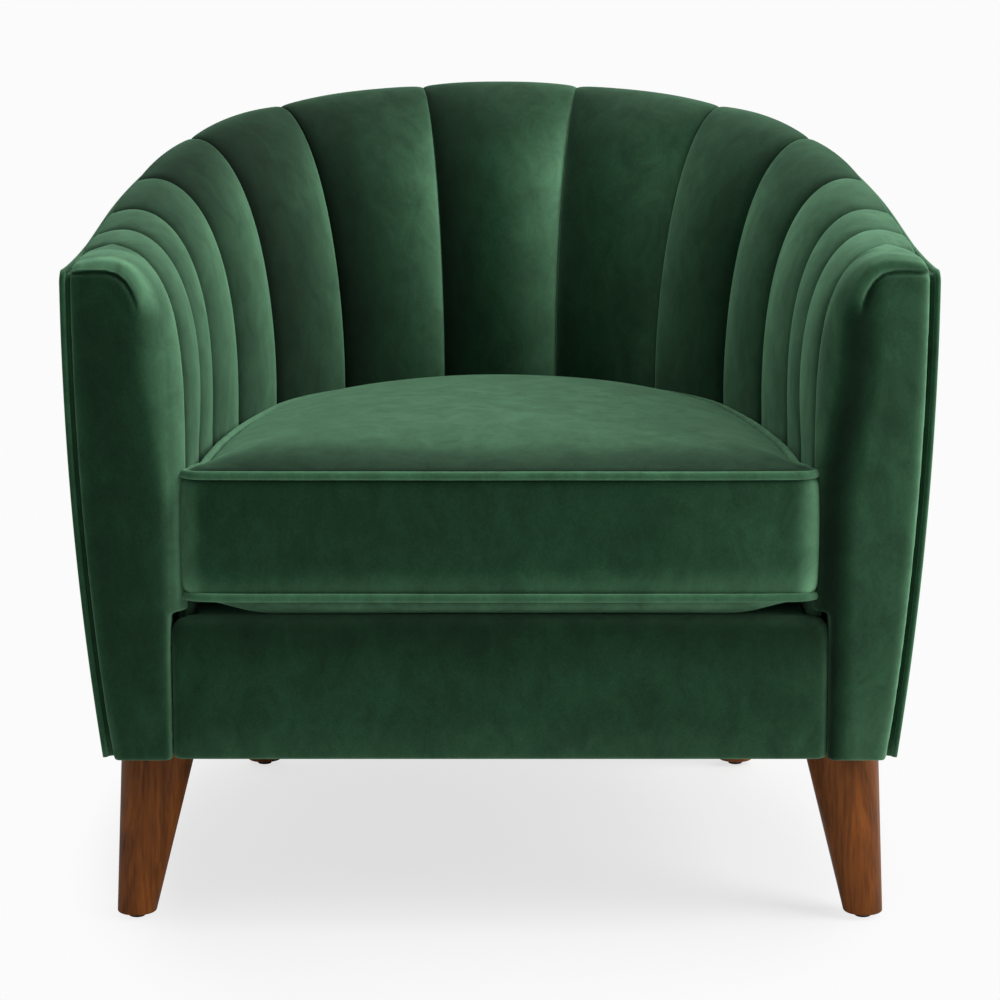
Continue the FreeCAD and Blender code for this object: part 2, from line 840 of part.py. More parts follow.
def cushion_outline(inset, z):
    """D-shaped plan of the cushion: tangent arcs, each drawn in by the inset."""
    half_width = seat_half_width - cushion_side_gap
    corner_y = front_y + cushion_front_inset + cushion_front_corner
    centre = zip_centre()
    lead = centre.y - corner_y
    spare = half_width - cushion_back_radius
    side_radius = (half_width**2 + lead**2 - cushion_back_radius**2) / (2 * spare)
    side_centre = V(half_width - side_radius, corner_y, 0)
    toward = (centre - side_centre).normalize()
    lift = V(0, 0, z)
    tangent = centre + toward * (cushion_back_radius - inset) + lift
    corner = cushion_front_corner - inset
    front = front_y + cushion_front_inset + inset
    side_start = V(half_width - inset, corner_y, z)
    outward = V(1, 0, 0)
    side_middle = side_centre + (outward + toward).normalize() * (side_radius - inset) + lift
    turn = corner * (1 - half_root)
    low = V(side_start.x - corner, front, z)
    bend = V(side_start.x - turn, front + turn, z)
    back = V(0, centre.y + cushion_back_radius - inset, z)
    edges = [Part.LineSegment(flipped(low), low), Part.Arc(low, bend, side_start)]
    edges += [Part.Arc(side_start, side_middle, tangent), Part.Arc(tangent, back, flipped(tangent))]
    edges += [Part.Arc(flipped(tangent), flipped(side_middle), flipped(side_start))]
    edges += [Part.Arc(flipped(side_start), flipped(bend), flipped(low))]
    return Part.Wire([edge.toShape() for edge in edges])


def zip_centre():
    """Centre of the arc around the back of the cushion."""
    return V(0, front_y + seat_depth - cushion_back_gap - cushion_back_radius, 0)


def outline_points(inset, z):
    """The outline in short chords."""
    points = []
    for edge, count in zip(cushion_outline(inset, z).Edges, cushion_chords):
        points += edge.discretize(count + 1)[:-1]
    return points


def cushion_ring(inset, z):
    """The full outline shrunk about its middle, so that the facets between levels stay flat."""
    middle_y = front_y + (cushion_front_inset + seat_depth - cushion_back_gap) / 2
    middle = V(0, middle_y, 0)
    share = 1 - inset / (seat_half_width - cushion_side_gap)
    return [middle + (point - middle) * share + V(0, 0, z) for point in outline_points(0.0, 0.0)]


def flat_facets(rings):
    """Solid with flat facets between rings of points, closed at both ends."""
    faces = [flat_face(rings[0]), flat_face(rings[-1])]
    for low, high in zip(rings, rings[1:]):
        for index in range(len(low)):
            faces.append(flat_face([low[index - 1], low[index], high[index], high[index - 1]]))
    return Part.Solid(Part.Shell(faces))


def flat_face(points):
    return Part.Face(Part.makePolygon(points + points[:1]))


def crown_rise(inset):
    """Share of the crown's height that is reached at an inset from the edge."""
    return 1 - (1 - inset / (crown_reach + cushion_draw_in)) ** 2


def crown_sections(edge_z, height):
    """Outlines from the welt to the middle of the crown, up for a positive height."""
    sections = []
    start = crown_rise(cushion_draw_in)
    for share in spread(0.0, 1.0, crown_steps + 1):
        inset = cushion_draw_in + crown_reach * share**crown_spacing
        rise = height * (crown_rise(inset) - start) / (1 - start)
        sections.append(cushion_ring(inset, edge_z + rise))
    return sections


def cushion_form():
    middle_z = (cushion_bottom_welt_z + cushion_top_welt_z) / 2
    quarter = (cushion_top_welt_z - cushion_bottom_welt_z) / 4
    boxing = [
        cushion_ring(cushion_draw_in_midway, middle_z - quarter),
        cushion_ring(0.0, middle_z),
        cushion_ring(cushion_draw_in_midway, middle_z + quarter),
    ]
    below = crown_sections(cushion_bottom_welt_z, -cushion_bottom_crown)
    above = crown_sections(cushion_top_welt_z, cushion_top_crown)
    return flat_facets(below[::-1] + boxing + above)


def cushion_core(skin):
    """Foam block in the cover, a skin's thickness inside it, with plain sloping faces."""
    edge = cushion_draw_in + skin
    inner = cushion_draw_in + crown_reach * core_top_share
    low = cushion_bottom_welt_z + skin
    high = cushion_top_welt_z - skin
    return flat_facets([
        cushion_ring(inner, low - cushion_bottom_crown / 2),
        cushion_ring(edge, low),
        cushion_ring(edge, high),
        cushion_ring(inner, high + cushion_top_crown / 2),
    ])


def cushion_welt(z):
    """Cord in the corner between the boxing and a panel, joined in the middle of the back."""
    points = outline_points(cushion_draw_in - welt_radius - cushion_welt_gap, z)
    middle = sum(cushion_chords[:3]) + cushion_chords[3] // 2
    gap = V(cord_joint_gap / 2, 0, 0)
    loop = [points[middle] - gap] + points[middle + 1:] + points[:middle] + [points[middle] + gap]
    return cord(loop)


def zip_sector(radius, thickness, z, height, half_angle):
    """Upright strip bent around the back of the cushion."""
    centre = zip_centre() + V(0, 0, z)
    edges = []
    ends = []
    for reach in (radius, radius + thickness):
        points = []
        for angle in (pi / 2 - half_angle, pi / 2, pi / 2 + half_angle):
            points.append(centre + V(reach * cos(angle), reach * sin(angle), 0))
        edges.append(Part.Arc(*points).toShape())
        ends.append((points[0], points[-1]))
    inner, outer = ends
    edges.insert(1, Part.LineSegment(inner[1], outer[1]).toShape())
    edges.append(Part.LineSegment(outer[0], inner[0]).toShape())
    return Part.Face(Part.Wire(Part.__sortEdges__(edges))).extrude(V(0, 0, height))


def zip_pieces():
    """Tape along the boxing and a slider that rests at the tape's right end."""
    middle_z = (cushion_bottom_welt_z + cushion_top_welt_z) / 2
    tape_radius = cushion_back_radius + running_gap
    low_z = middle_z - zip_height / 2
    tape = zip_sector(tape_radius, zip_thickness, low_z, zip_height, zip_half_length / tape_radius)
    radius = tape_radius + zip_thickness + running_gap
    slider = Part.makeBox(slider_length, slider_thickness, slider_height)
    slider.translate(V(-slider_length / 2, radius, middle_z - slider_height / 2))
    slider.rotate(V(0, 0, 0), V(0, 0, 1), -degrees(slider_angle()))
    slider.translate(zip_centre())
    return tape, slider


def slider_angle():
    """Angle between the middle of the tape and the slider at rest."""
    return (zip_half_length - slider_length / 2 - slider_end_gap) / cushion_back_radius


# Legs and their fixings


def leg_axes():
    """Top and foot of the right front leg and of the right rear leg, in plan."""
    front = V(front_leg_x, front_y + front_leg_back, 0)
    rear = V(rear_leg_x, front_y + rear_leg_back, 0)
    return [(front, front + V(leg_splay, -leg_splay, 0)), (rear, rear + V(leg_splay, rear_leg_rake, 0))]


def polygon(centre, radius, sides, z):
    """Corners of a level polygon whose flats lie at the radius."""
    corner_radius = radius / cos(pi / sides)
    corners = []
    for number in range(sides):
        angle = pi * (2 * number + 1) / sides
        corners.append(V(centre.x + corner_radius * cos(angle), centre.y + corner_radius * sin(angle), z))
    return corners


def pin(centre, radius, low_z, high_z):
    """Upright pin or bore with many flats."""
    return flat_piece(polygon(centre, radius, pin_sides, low_z), high_z - low_z)


def dowel_place(top):
    return top - V(dowel_offset, 0, 0)


def leg_holes(top, foot):
    """Room for the stud, the dowel and the stem of the glide."""
    stud = pin(top, stud_radius + hole_gap, frame_bottom_z - stud_in_leg - hole_gap, block_top_z)
    reach = dowel_length / 2 + hole_gap
    low_z = frame_bottom_z - reach
    dowel = pin(dowel_place(top), dowel_radius + hole_gap, low_z, low_z + 2 * reach)
    stem_top = glide_height + glide_stem_length + hole_gap
    stem = pin(foot, glide_stem_radius + hole_gap, glide_height, stem_top)
    return stud, dowel, stem


def leg(top, foot):
    """Turned leaning taper with many flats, cut level at the glide and at the frame."""
    low = polygon(foot, leg_foot_radius, leg_sides, glide_height)
    high = polygon(top, leg_top_radius, leg_sides, frame_bottom_z)
    shape = flat_facets([low, high])
    for hole in leg_holes(top, foot):
        shape = shape.cut(hole)
    return shape


def glide(foot):
    disc = pin(foot, glide_radius, 0.0, glide_height)
    return disc.fuse(pin(foot, glide_stem_radius, 0.0, glide_height + glide_stem_length)).removeSplitter()


def stud(top):
    return pin(top, stud_radius, frame_bottom_z - stud_in_leg, block_top_z + stud_above_block)


def tee_nut(top):
    barrel = pin(top, nut_barrel_radius, block_top_z - nut_barrel_length, block_top_z)
    flange = pin(top, nut_flange_radius, block_top_z, block_top_z + nut_flange_thickness)
    nut = barrel.fuse(flange)
    bore = pin(top, stud_radius + hole_gap, block_top_z - nut_barrel_length, block_top_z + block_thickness)
    return nut.cut(bore).removeSplitter()


def dowel(top):
    half = dowel_length / 2
    return pin(dowel_place(top), dowel_radius, frame_bottom_z - half, frame_bottom_z + half)


def corner_block(top, foot):
    """Hardwood block inside the rails, bored for the tee nut and the dowel."""
    low_y = top.y - block_reach
    least_y = panel_front_y() + front_rail_thickness + running_gap
    low_y = max(low_y, least_y)
    start = V(top.x - block_reach, low_y, frame_bottom_z)
    block = Part.makeBox(2 * block_reach, top.y + block_reach - low_y, block_thickness, start)
    inset = frame_inset + rail_thickness + running_gap
    inside = flat_piece(outside_curve(inset, frame_bottom_z), block_thickness)
    block = block.common(inside)
    stud_hole, dowel_hole, stem_hole = leg_holes(top, foot)
    nut_low_z = block_top_z - nut_barrel_length - hole_gap
    nut_hole = pin(top, nut_barrel_radius + hole_gap, nut_low_z, block_top_z)
    return block.cut(stud_hole).cut(dowel_hole).cut(nut_hole)


def dust_cover():
    """Thin cloth under the frame, with room for the four legs."""
    low_z = frame_bottom_z - dust_cover_thickness
    inset = cover_thickness + running_gap
    sheet = flat_piece(outside_curve(inset, low_z), dust_cover_thickness)
    sheet = sheet.common(behind(panel_front_y()))
    for top, foot in leg_axes():
        for centre in (top, flipped(top)):
            sheet = sheet.cut(pin(centre, leg_top_radius + leg_hole_gap, body_bottom_z, frame_bottom_z))
    return sheet


# All pieces


def both_sides(shapes):
    """One node of identical fixings: the right-hand ones and their mirror images."""
    return Part.makeCompound(shapes + [mirrored(shape) for shape in shapes])


def save(name, shape):
    shape.exportStep("parts/" + name + ".step")


def save_pair(name, shape):
    save(name + "_right", shape)
    save(name + "_left", mirrored(shape))


def save_channels():
    row = [other_side(seam) for seam in right_seams[::-1]] + right_seams
    middle = seam_count - 1
    save("channel_centre", channel(row, middle))
    for number in range(1, seam_count):
        shape = channel(row, middle + number)
        if number == seam_count - 1:
            shape = shape.cut(front_of_seam(-seam_gap))
        save_pair("channel_" + str(number), shape)


def save_frame():
    side_rail, back_rail = rails()
    save_pair("side_rail", side_rail)
    save("back_rail", back_rail)
    save("front_rail", front_rail())
    save("seat_ring", seat_ring())
    save_pair("arm_panel", arm_panel())
    arm_rail, back_top_rail = top_rails()
    save_pair("arm_top_rail", arm_rail)
    save("back_top_rail", back_top_rail)
    rails_above = arm_rail.fuse(back_top_rail)
    posts = []
    for number in post_seams:
        posts += post_at(number, rails_above)
    save("frame_posts", both_sides(posts))
    split = top_rail_split_seam
    arm_board = board(right_seams[split - 1:]).common(behind(panel_back_y()))
    arm_board = arm_board.cut(front_of_seam(-seam_gap))
    save_pair("arm_board", arm_board)
    near = right_seams[:split]
    save("back_board", board([other_side(seam) for seam in near[::-1]] + near))


def save_deck():
    long_straps, cross_straps = webbing()
    save("long_webbing", long_straps)
    save("cross_webbing", cross_straps)
    pad_z = ring_top_z + 2 * web_thickness + deck_top_gap
    cloth_z = cushion_low_z - deck_top_gap - deck_cloth_thickness
    save("deck_pad", deck_layer(pad_z, cloth_z - pad_z))
    save("deck_cloth", deck_layer(cloth_z, deck_cloth_thickness))
    save("front_border", front_border())
    save("dust_cover", dust_cover())


def save_covers():
    outside_arm, outside_back = outside_covers()
    save_pair("outside_arm", outside_arm)
    save("outside_back", outside_back)
    save_pair("arm_front", arm_front())
    save("outer_welt", outer_welt())


def save_cushion():
    form = cushion_form()
    save("cushion_cover", form.cut(cushion_core(cover_wadding)))
    save("cushion_core", cushion_core(cover_wadding + running_gap))
    save("cushion_top_welt", cushion_welt(cushion_top_welt_z))
    save("cushion_bottom_welt", cushion_welt(cushion_bottom_welt_z))
    tape, slider = zip_pieces()
    save("zip_tape", tape)
    save("zip_slider", slider)


def save_legs():
    axes = leg_axes()
    save_pair("leg_front", leg(*axes[0]))
    save_pair("leg_rear", leg(*axes[1]))
    save("leg_glides", both_sides([glide(foot) for top, foot in axes]))
    save("leg_studs", both_sides([stud(top) for top, foot in axes]))
    save("leg_tee_nuts", both_sides([tee_nut(top) for top, foot in axes]))
    save("leg_dowels", both_sides([dowel(top) for top, foot in axes]))
    save("corner_blocks", both_sides([corner_block(top, foot) for top, foot in axes]))


os.makedirs("parts", exist_ok=True)
save_channels()
save_frame()
save_deck()
save_covers()
save_cushion()
save_legs()
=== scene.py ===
import bpy
import bmesh
import json
from math import asin, atan2, cos, exp, pi, radians, sin, sqrt
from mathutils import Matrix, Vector, noise
from mathutils.bvhtree import BVHTree


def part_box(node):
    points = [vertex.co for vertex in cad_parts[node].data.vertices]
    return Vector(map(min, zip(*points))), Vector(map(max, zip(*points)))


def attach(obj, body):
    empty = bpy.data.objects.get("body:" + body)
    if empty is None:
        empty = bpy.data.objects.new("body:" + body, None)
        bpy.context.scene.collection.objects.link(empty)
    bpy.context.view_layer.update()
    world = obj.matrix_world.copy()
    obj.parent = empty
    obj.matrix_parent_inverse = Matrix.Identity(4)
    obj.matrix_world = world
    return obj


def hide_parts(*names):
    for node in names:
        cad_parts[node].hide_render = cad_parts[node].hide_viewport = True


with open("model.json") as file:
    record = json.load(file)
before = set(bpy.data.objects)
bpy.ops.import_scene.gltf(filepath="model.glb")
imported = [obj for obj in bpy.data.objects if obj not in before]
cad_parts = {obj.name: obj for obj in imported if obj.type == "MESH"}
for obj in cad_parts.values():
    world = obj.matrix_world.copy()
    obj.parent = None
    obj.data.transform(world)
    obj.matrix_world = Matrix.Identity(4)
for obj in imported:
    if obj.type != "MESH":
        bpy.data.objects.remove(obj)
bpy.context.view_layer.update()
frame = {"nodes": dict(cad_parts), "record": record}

scene = bpy.context.scene
scene.view_settings.view_transform = "Standard"

# small helpers


def clamped(value):
    return min(max(value, 0.0), 1.0)


def smoothStep(value, start, end):
    share = clamped((value - start) / (end - start))
    return share * share * (3 - 2 * share)


def shareBeyond(value, start):
    # 0 up to the start, then growing to 1 at 1
    return max(0.0, (value - start) / (1 - start))


def linked(name, data):
    made = bpy.data.objects.new(name, data)
    scene.collection.objects.link(made)
    return made


def meshFrom(bm, name):
    mesh = bpy.data.meshes.new(name)
    bm.to_mesh(mesh)
    bm.free()
    return mesh


def fillSockets(tree, node, inputs):
    # a socket takes a constant or another node's output
    for socket, value in inputs.items():
        if isinstance(value, bpy.types.NodeSocket):
            tree.links.new(value, node.inputs[socket])
        else:
            node.inputs[socket].default_value = value


def addNode(tree, kind, inputs=None, **settings):
    node = tree.nodes.new("ShaderNode" + kind)
    for name, value in settings.items():
        setattr(node, name, value)
    fillSockets(tree, node, inputs or {})
    return node


def grey(level):
    return level, level, level, 1.0


# camera at the photo's place, then the floor and the lamps

camera = {"place": (0.0, -3.36, 0.985), "tilt": 79.203, "lens": 120.32, "sensor": 36.0}
studio = {"floorTint": 0.22, "floorGlow": 0.71, "bounceTint": 0.8, "backTint": 0.965, "worldLevel": 0.34,
          "fadeStart": 0.72, "fadeEnd": 1.02, "fadeReach": (0.44, 0.86), "floorSize": 40.0, "floorZ": -0.0004}
lamps = {
    "keyLamp": {"place": (2.9, -1.25, 2.1), "size": 2.0, "watts": 125, "aim": (0.0, -0.1, 0.45)},
    "fillLamp": {"place": (-2.2, -2.4, 1.4), "size": 2.4, "watts": 8, "aim": (0.0, -0.1, 0.45)},
    "topLamp": {"place": (0.3, 0.1, 3.0), "size": 2.6, "watts": 45, "aim": (0.0, -0.05, 0.5)},
}


def makeCamera():
    data = bpy.data.cameras.new("photoCamera")
    data.lens = camera["lens"]
    data.sensor_width = camera["sensor"]
    data.clip_end = 60.0
    eye = linked("photoCamera", data)
    eye.location = camera["place"]
    eye.rotation_euler = (radians(camera["tilt"]), 0.0, 0.0)
    scene.camera = eye


def makeLamps():
    for name, values in lamps.items():
        data = bpy.data.lights.new(name, "AREA")
        data.shape = "SQUARE"
        data.size = values["size"]
        data.energy = values["watts"]
        lamp = linked(name, data)
        lamp.location = values["place"]
        aim = Vector(values["aim"]) - Vector(values["place"])
        lamp.rotation_euler = aim.to_track_quat("-Z", "Y").to_euler()


def emptyTree(owner):
    owner.use_nodes = True
    owner.node_tree.nodes.clear()
    return owner.node_tree


def seenByCamera(tree, seen, other):
    ray = addNode(tree, "LightPath").outputs["Is Camera Ray"]
    return addNode(tree, "MixShader", {"Fac": ray, 1: other.outputs[0], 2: seen.outputs[0]}).outputs[0]


def makeWorld():
    scene.world = bpy.data.worlds.new("studioWorld")
    tree = emptyTree(scene.world)
    light = addNode(tree, "Background", {"Color": grey(1.0), "Strength": studio["worldLevel"]})
    seen = addNode(tree, "Background", {"Color": grey(studio["backTint"])})
    addNode(tree, "OutputWorld", {"Surface": seenByCamera(tree, seen, light)})


def floorMaterial():
    # shaded near the chair, plain background colour further out
    material = bpy.data.materials.new("paleFloor")
    tree = emptyTree(material)
    across, along = studio["fadeReach"]
    place = addNode(tree, "TexCoord").outputs["Object"]
    scaled = addNode(tree, "VectorMath", {0: place, 1: (1 / across, 1 / along, 0.0)}, operation="MULTIPLY")
    distance = addNode(tree, "VectorMath", {0: scaled.outputs["Vector"]}, operation="LENGTH")
    fade = addNode(tree, "MapRange", {
        "Value": distance.outputs["Value"], "From Min": studio["fadeStart"], "From Max": studio["fadeEnd"],
    }, interpolation_type="SMOOTHSTEP")
    paint = addNode(tree, "BsdfDiffuse", {"Color": grey(studio["floorTint"])})
    glow = addNode(tree, "Emission", {"Strength": studio["floorGlow"]})
    shaded = addNode(tree, "AddShader", {0: paint.outputs[0], 1: glow.outputs[0]})
    plain = addNode(tree, "Emission", {"Strength": studio["backTint"]})
    seen = addNode(tree, "MixShader", {
        "Fac": fade.outputs["Result"], 1: shaded.outputs[0], 2: plain.outputs[0],
    })
    bounce = addNode(tree, "BsdfDiffuse", {"Color": grey(studio["bounceTint"])})
    addNode(tree, "OutputMaterial", {"Surface": seenByCamera(tree, seen, bounce)})
    return material


def makeFloor():
    bm = bmesh.new()
    bmesh.ops.create_grid(bm, x_segments=1, y_segments=1, size=studio["floorSize"])
    mesh = meshFrom(bm, "studioFloor")
    mesh.materials.append(floorMaterial())
    floor = linked("studioFloor", mesh)
    floor.location = (0.0, 0.0, studio["floorZ"])


makeCamera()
makeLamps()
makeWorld()
makeFloor()
print("studio ready")

# finishes

# painted light in the velvet: a pale colour mixed in at grazing angles as a painted sheen, tilted to one side, and
# the strength of the painted light and shade carried on the surface
velvetValues = {
    "dark": (0.0072, 0.031, 0.0128), "cloudGain": (1.5, 1.4, 1.5), "sheenPale": (0.078, 0.17, 0.098, 1.0),
    "lightTilt": (0.2, 0.0, -0.08), "facing": 0.5, "turnPower": 1.2,
    "paintedShade": 2.6, "litPale": 0.3, "litGain": 0.42,
    "flecks": 420.0, "sheenTint": (0.32, 0.72, 0.44, 1.0),
}


def makeGroup(name, inputs, outputs):
    group = bpy.data.node_groups.new(name, "ShaderNodeTree")
    for label, value in inputs.items():
        kind = {1: "Float", 3: "Vector", 4: "Color"}[len(value) if isinstance(value, tuple) else 1]
        socket = group.interface.new_socket(name=label, in_out="INPUT", socket_type="NodeSocket" + kind)
        socket.default_value = value
    for label in outputs:
        kind = "NodeSocketColor" if label == "Color" else "NodeSocketFloat"
        group.interface.new_socket(name=label, in_out="OUTPUT", socket_type=kind)
    given = group.nodes.new("NodeGroupInput").outputs
    return group, given, group.nodes.new("NodeGroupOutput"), addNode(group, "TexCoord").outputs["Object"]


def noiseOn(tree, place, scale, detail, roughness=0.5, distortion=0.0):
    return addNode(tree, "TexNoise", {
        "Vector": place, "Scale": scale, "Detail": detail, "Roughness": roughness, "Distortion": distortion,
    }).outputs["Fac"]


def ranged(tree, value, before, after=(0.0, 1.0)):
    return addNode(tree, "MapRange", {
        "Value": value, "From Min": before[0], "From Max": before[1], "To Min": after[0], "To Max": after[1],
    }).outputs["Result"]


def mathNode(tree, operation, *values, clamp=False):
    return addNode(tree, "Math", dict(enumerate(values)), operation=operation, use_clamp=clamp).outputs["Value"]


def mixColors(tree, factor, first, second, mode="MIX"):
    # sockets 6 and 7 are the two colours, output 2 their mix
    return addNode(tree, "Mix", {"Factor": factor, 6: first, 7: second}, data_type="RGBA", blend_type=mode).outputs[2]


def pileGroup():
    group, given, out, place = makeGroup(
        "velvetPile", {"Dark": (0, 0, 0, 1), "Light": (1, 1, 1, 1), "Clouds": 7.0, "Flecks": 400.0},
        ("Color", "Roughness", "Height", "Mottle"))
    clouds = noiseOn(group, place, given["Clouds"], 4.0, 0.6, 0.7)
    flecks = noiseOn(group, place, given["Flecks"], 3.0, 0.75)
    shade = mixColors(group, ranged(group, clouds, (0.3, 0.75)), given["Dark"], given["Light"])
    # crushed and stroked places, a finger's breadth across
    stretched = addNode(group, "VectorMath", {0: place, 1: (1.0, 1.0, 0.6)}, operation="MULTIPLY")
    marks = noiseOn(group, stretched.outputs["Vector"], 38.0, 6.0, 0.72, 0.5)
    fillSockets(group, out, {
        "Color": mixColors(group, 1.0, shade, ranged(group, flecks, (0.25, 0.7), (0.72, 1.12)), "MULTIPLY"),
        "Roughness": ranged(group, clouds, (0.0, 1.0), (0.74, 0.95)),
        "Height": mathNode(group, "MULTIPLY_ADD", clouds, 0.35, flecks),
        "Mottle": ranged(group, marks, (0.3, 0.7), (0.72, 1.27)),
    })
    return group


def grainGroup():
    group, given, out, place = makeGroup(
        "woodGrain", {"Dark": (0, 0, 0, 1), "Light": (1, 1, 1, 1), "Stretch": (60.0, 60.0, 4.0)},
        ("Color", "Roughness", "Height"))
    scaled = addNode(group, "VectorMath", {0: place, 1: given["Stretch"]}, operation="MULTIPLY").outputs["Vector"]
    bands = noiseOn(group, scaled, 1.0, 5.0, distortion=1.2)
    pores = noiseOn(group, scaled, 6.0, 3.0)
    shade = mixColors(group, ranged(group, bands, (0.3, 0.7)), given["Dark"], given["Light"])
    fillSockets(group, out, {
        "Color": mixColors(group, 1.0, shade, ranged(group, pores, (0.35, 0.55), (0.7, 1.05)), "MULTIPLY"),
        "Roughness": ranged(group, bands, (0.0, 1.0), (0.34, 0.52)),
        "Height": pores,
    })
    return group


groups = {"pile": pileGroup(), "grain": grainGroup()}


def baseMaterial(name):
    material = bpy.data.materials.new(name)
    material.use_nodes = True
    return material, material.node_tree, material.node_tree.nodes["Principled BSDF"]


def bumpFrom(tree, height, strength, distance):
    return addNode(tree, "Bump", {"Strength": strength, "Distance": distance, "Height": height}).outputs["Normal"]


def velvetMaterial(name, lift, clouds):
    material, tree, shader = baseMaterial(name)
    values = velvetValues
    deep = [level * lift for level in values["dark"]]
    cloudy = [level * gain * lift for level, gain in zip(values["dark"], values["cloudGain"])]
    pile = addNode(tree, "Group", {
        "Dark": (*deep, 1.0), "Light": (*cloudy, 1.0), "Clouds": clouds, "Flecks": values["flecks"],
    }, node_tree=groups["pile"])
    # painted light: the normal is tilted sideways before the facing test, so slopes turned to the right look paler
    # and those turned left deeper, standing in for a lamp on the right
    normal = addNode(tree, "NewGeometry").outputs["Normal"]
    lightTilt = addNode(tree, "VectorMath", {0: normal, 1: values["lightTilt"]}, operation="ADD")
    upright = addNode(tree, "VectorMath", {0: lightTilt.outputs["Vector"]}, operation="NORMALIZE")
    facing = addNode(tree, "LayerWeight", {"Blend": values["facing"], "Normal": upright.outputs["Vector"]})
    turned = mathNode(tree, "POWER", facing.outputs["Facing"], values["turnPower"])
    # painted light and shade carried on the surface: below 0 the cloth is painted deeper, above 0 paler
    paintedShading = addNode(tree, "Attribute", attribute_name="paintedShading").outputs["Fac"]
    litPart = mathNode(tree, "MAXIMUM", paintedShading, 0.0)
    # painted sheen: towards the pale colour where the cloth turns away from the view, more where the painted shading
    # is above 0
    paler = mathNode(tree, "MULTIPLY_ADD", litPart, values["litPale"], turned, clamp=True)
    color = mixColors(tree, paler, pile.outputs["Color"], values["sheenPale"])
    power = mathNode(tree, "MULTIPLY_ADD", litPart, values["litGain"] - 1, paintedShading)
    gain = mathNode(tree, "POWER", values["paintedShade"], power)
    uneven = mathNode(tree, "MULTIPLY", gain, pile.outputs["Mottle"])
    paintedShade = addNode(tree, "VectorMath", {0: color, "Scale": uneven}, operation="SCALE")
    fillSockets(tree, shader, {
        "Base Color": paintedShade.outputs["Vector"], "Roughness": pile.outputs["Roughness"],
        "Specular IOR Level": 0.08, "Sheen Weight": 0.25, "Sheen Roughness": 0.35,
        "Sheen Tint": values["sheenTint"], "Normal": bumpFrom(tree, pile.outputs["Height"], 0.25, 0.0006),
    })
    return material


def woodMaterial(name, dark, light, stretch, coat):
    material, tree, shader = baseMaterial(name)
    grain = addNode(tree, "Group", {
        "Dark": (*dark, 1.0), "Light": (*light, 1.0), "Stretch": stretch,
    }, node_tree=groups["grain"]).outputs
    fillSockets(tree, shader, {
        "Base Color": grain["Color"], "Roughness": grain["Roughness"], "Coat Weight": coat, "Coat Roughness": 0.3,
        "Specular IOR Level": 0.1, "Normal": bumpFrom(tree, grain["Height"], 0.2, 0.0004),
    })
    return material


def darkened(color, share):
    return color[0] * share, color[1] * share, color[2] * share, 1.0


def clothMaterial(name, color, scale, roughness):
    material, tree, shader = baseMaterial(name)
    place = addNode(tree, "TexCoord").outputs["Object"]
    warp, weft = (addNode(tree, "TexWave", {"Scale": scale, "Distortion": 1.0, "Vector": place},
                          wave_type="BANDS", bands_direction=direction).outputs["Fac"] for direction in "XY")
    cross = mathNode(tree, "MULTIPLY", warp, weft)
    fillSockets(tree, shader, {
        "Base Color": mixColors(tree, cross, darkened(color, 0.6), (*color, 1.0)),
        "Roughness": roughness, "Normal": bumpFrom(tree, cross, 0.4, 0.0005),
    })
    return material


def speckledMaterial(name, color, metallic, roughness, scale):
    material, tree, shader = baseMaterial(name)
    specks = noiseOn(tree, addNode(tree, "TexCoord").outputs["Object"], scale, 4.0)
    fillSockets(tree, shader, {
        "Base Color": mixColors(tree, specks, darkened(color, 0.75), (*color, 1.0)), "Metallic": metallic,
        "Roughness": ranged(tree, specks, (0.0, 1.0), (roughness - 0.08, roughness + 0.1)),
        "Normal": bumpFrom(tree, specks, 0.15, 0.0003),
    })
    return material


finishes = {
    "velvet": velvetMaterial("channelVelvet", 1.0, 7.0),
    # painted light: the cushion's and the piping's velvets are paler copies of the channel velvet, the piping's as a
    # painted highlight
    "cushionVelvet": velvetMaterial("cushionVelvet", 1.1, 5.0),
    "piping": velvetMaterial("pipingVelvet", 1.6, 14.0),
    "leg": woodMaterial("walnutLeg", (0.082, 0.0235, 0.0032), (0.215, 0.064, 0.0105), (55.0, 55.0, 4.5), 0.06),
    "frame": woodMaterial("frameWood", (0.3, 0.19, 0.1), (0.5, 0.35, 0.2), (9.0, 40.0, 40.0), 0.0),
    "board": woodMaterial("bentBoard", (0.25, 0.16, 0.09), (0.4, 0.28, 0.16), (30.0, 30.0, 6.0), 0.0),
    "webbing": clothMaterial("elasticWebbing", (0.3, 0.25, 0.18), 260.0, 0.9),
    "dustCloth": clothMaterial("dustCloth", (0.018, 0.018, 0.019), 180.0, 0.95),
    "deckCloth": clothMaterial("deckCloth", (0.012, 0.035, 0.022), 210.0, 0.9),
    "zipCloth": clothMaterial("zipTape", (0.012, 0.045, 0.026), 330.0, 0.85),
    "glide": speckledMaterial("glidePlastic", (0.012, 0.012, 0.012), 0.0, 0.45, 300.0),
    "steel": speckledMaterial("zincSteel", (0.55, 0.56, 0.58), 1.0, 0.38, 200.0),
    "foam": speckledMaterial("seatFoam", (0.75, 0.68, 0.48), 0.0, 0.9, 500.0),
}
print("finishes ready")

# the barrel's own curves: the seams as points at the seat line and on the rim

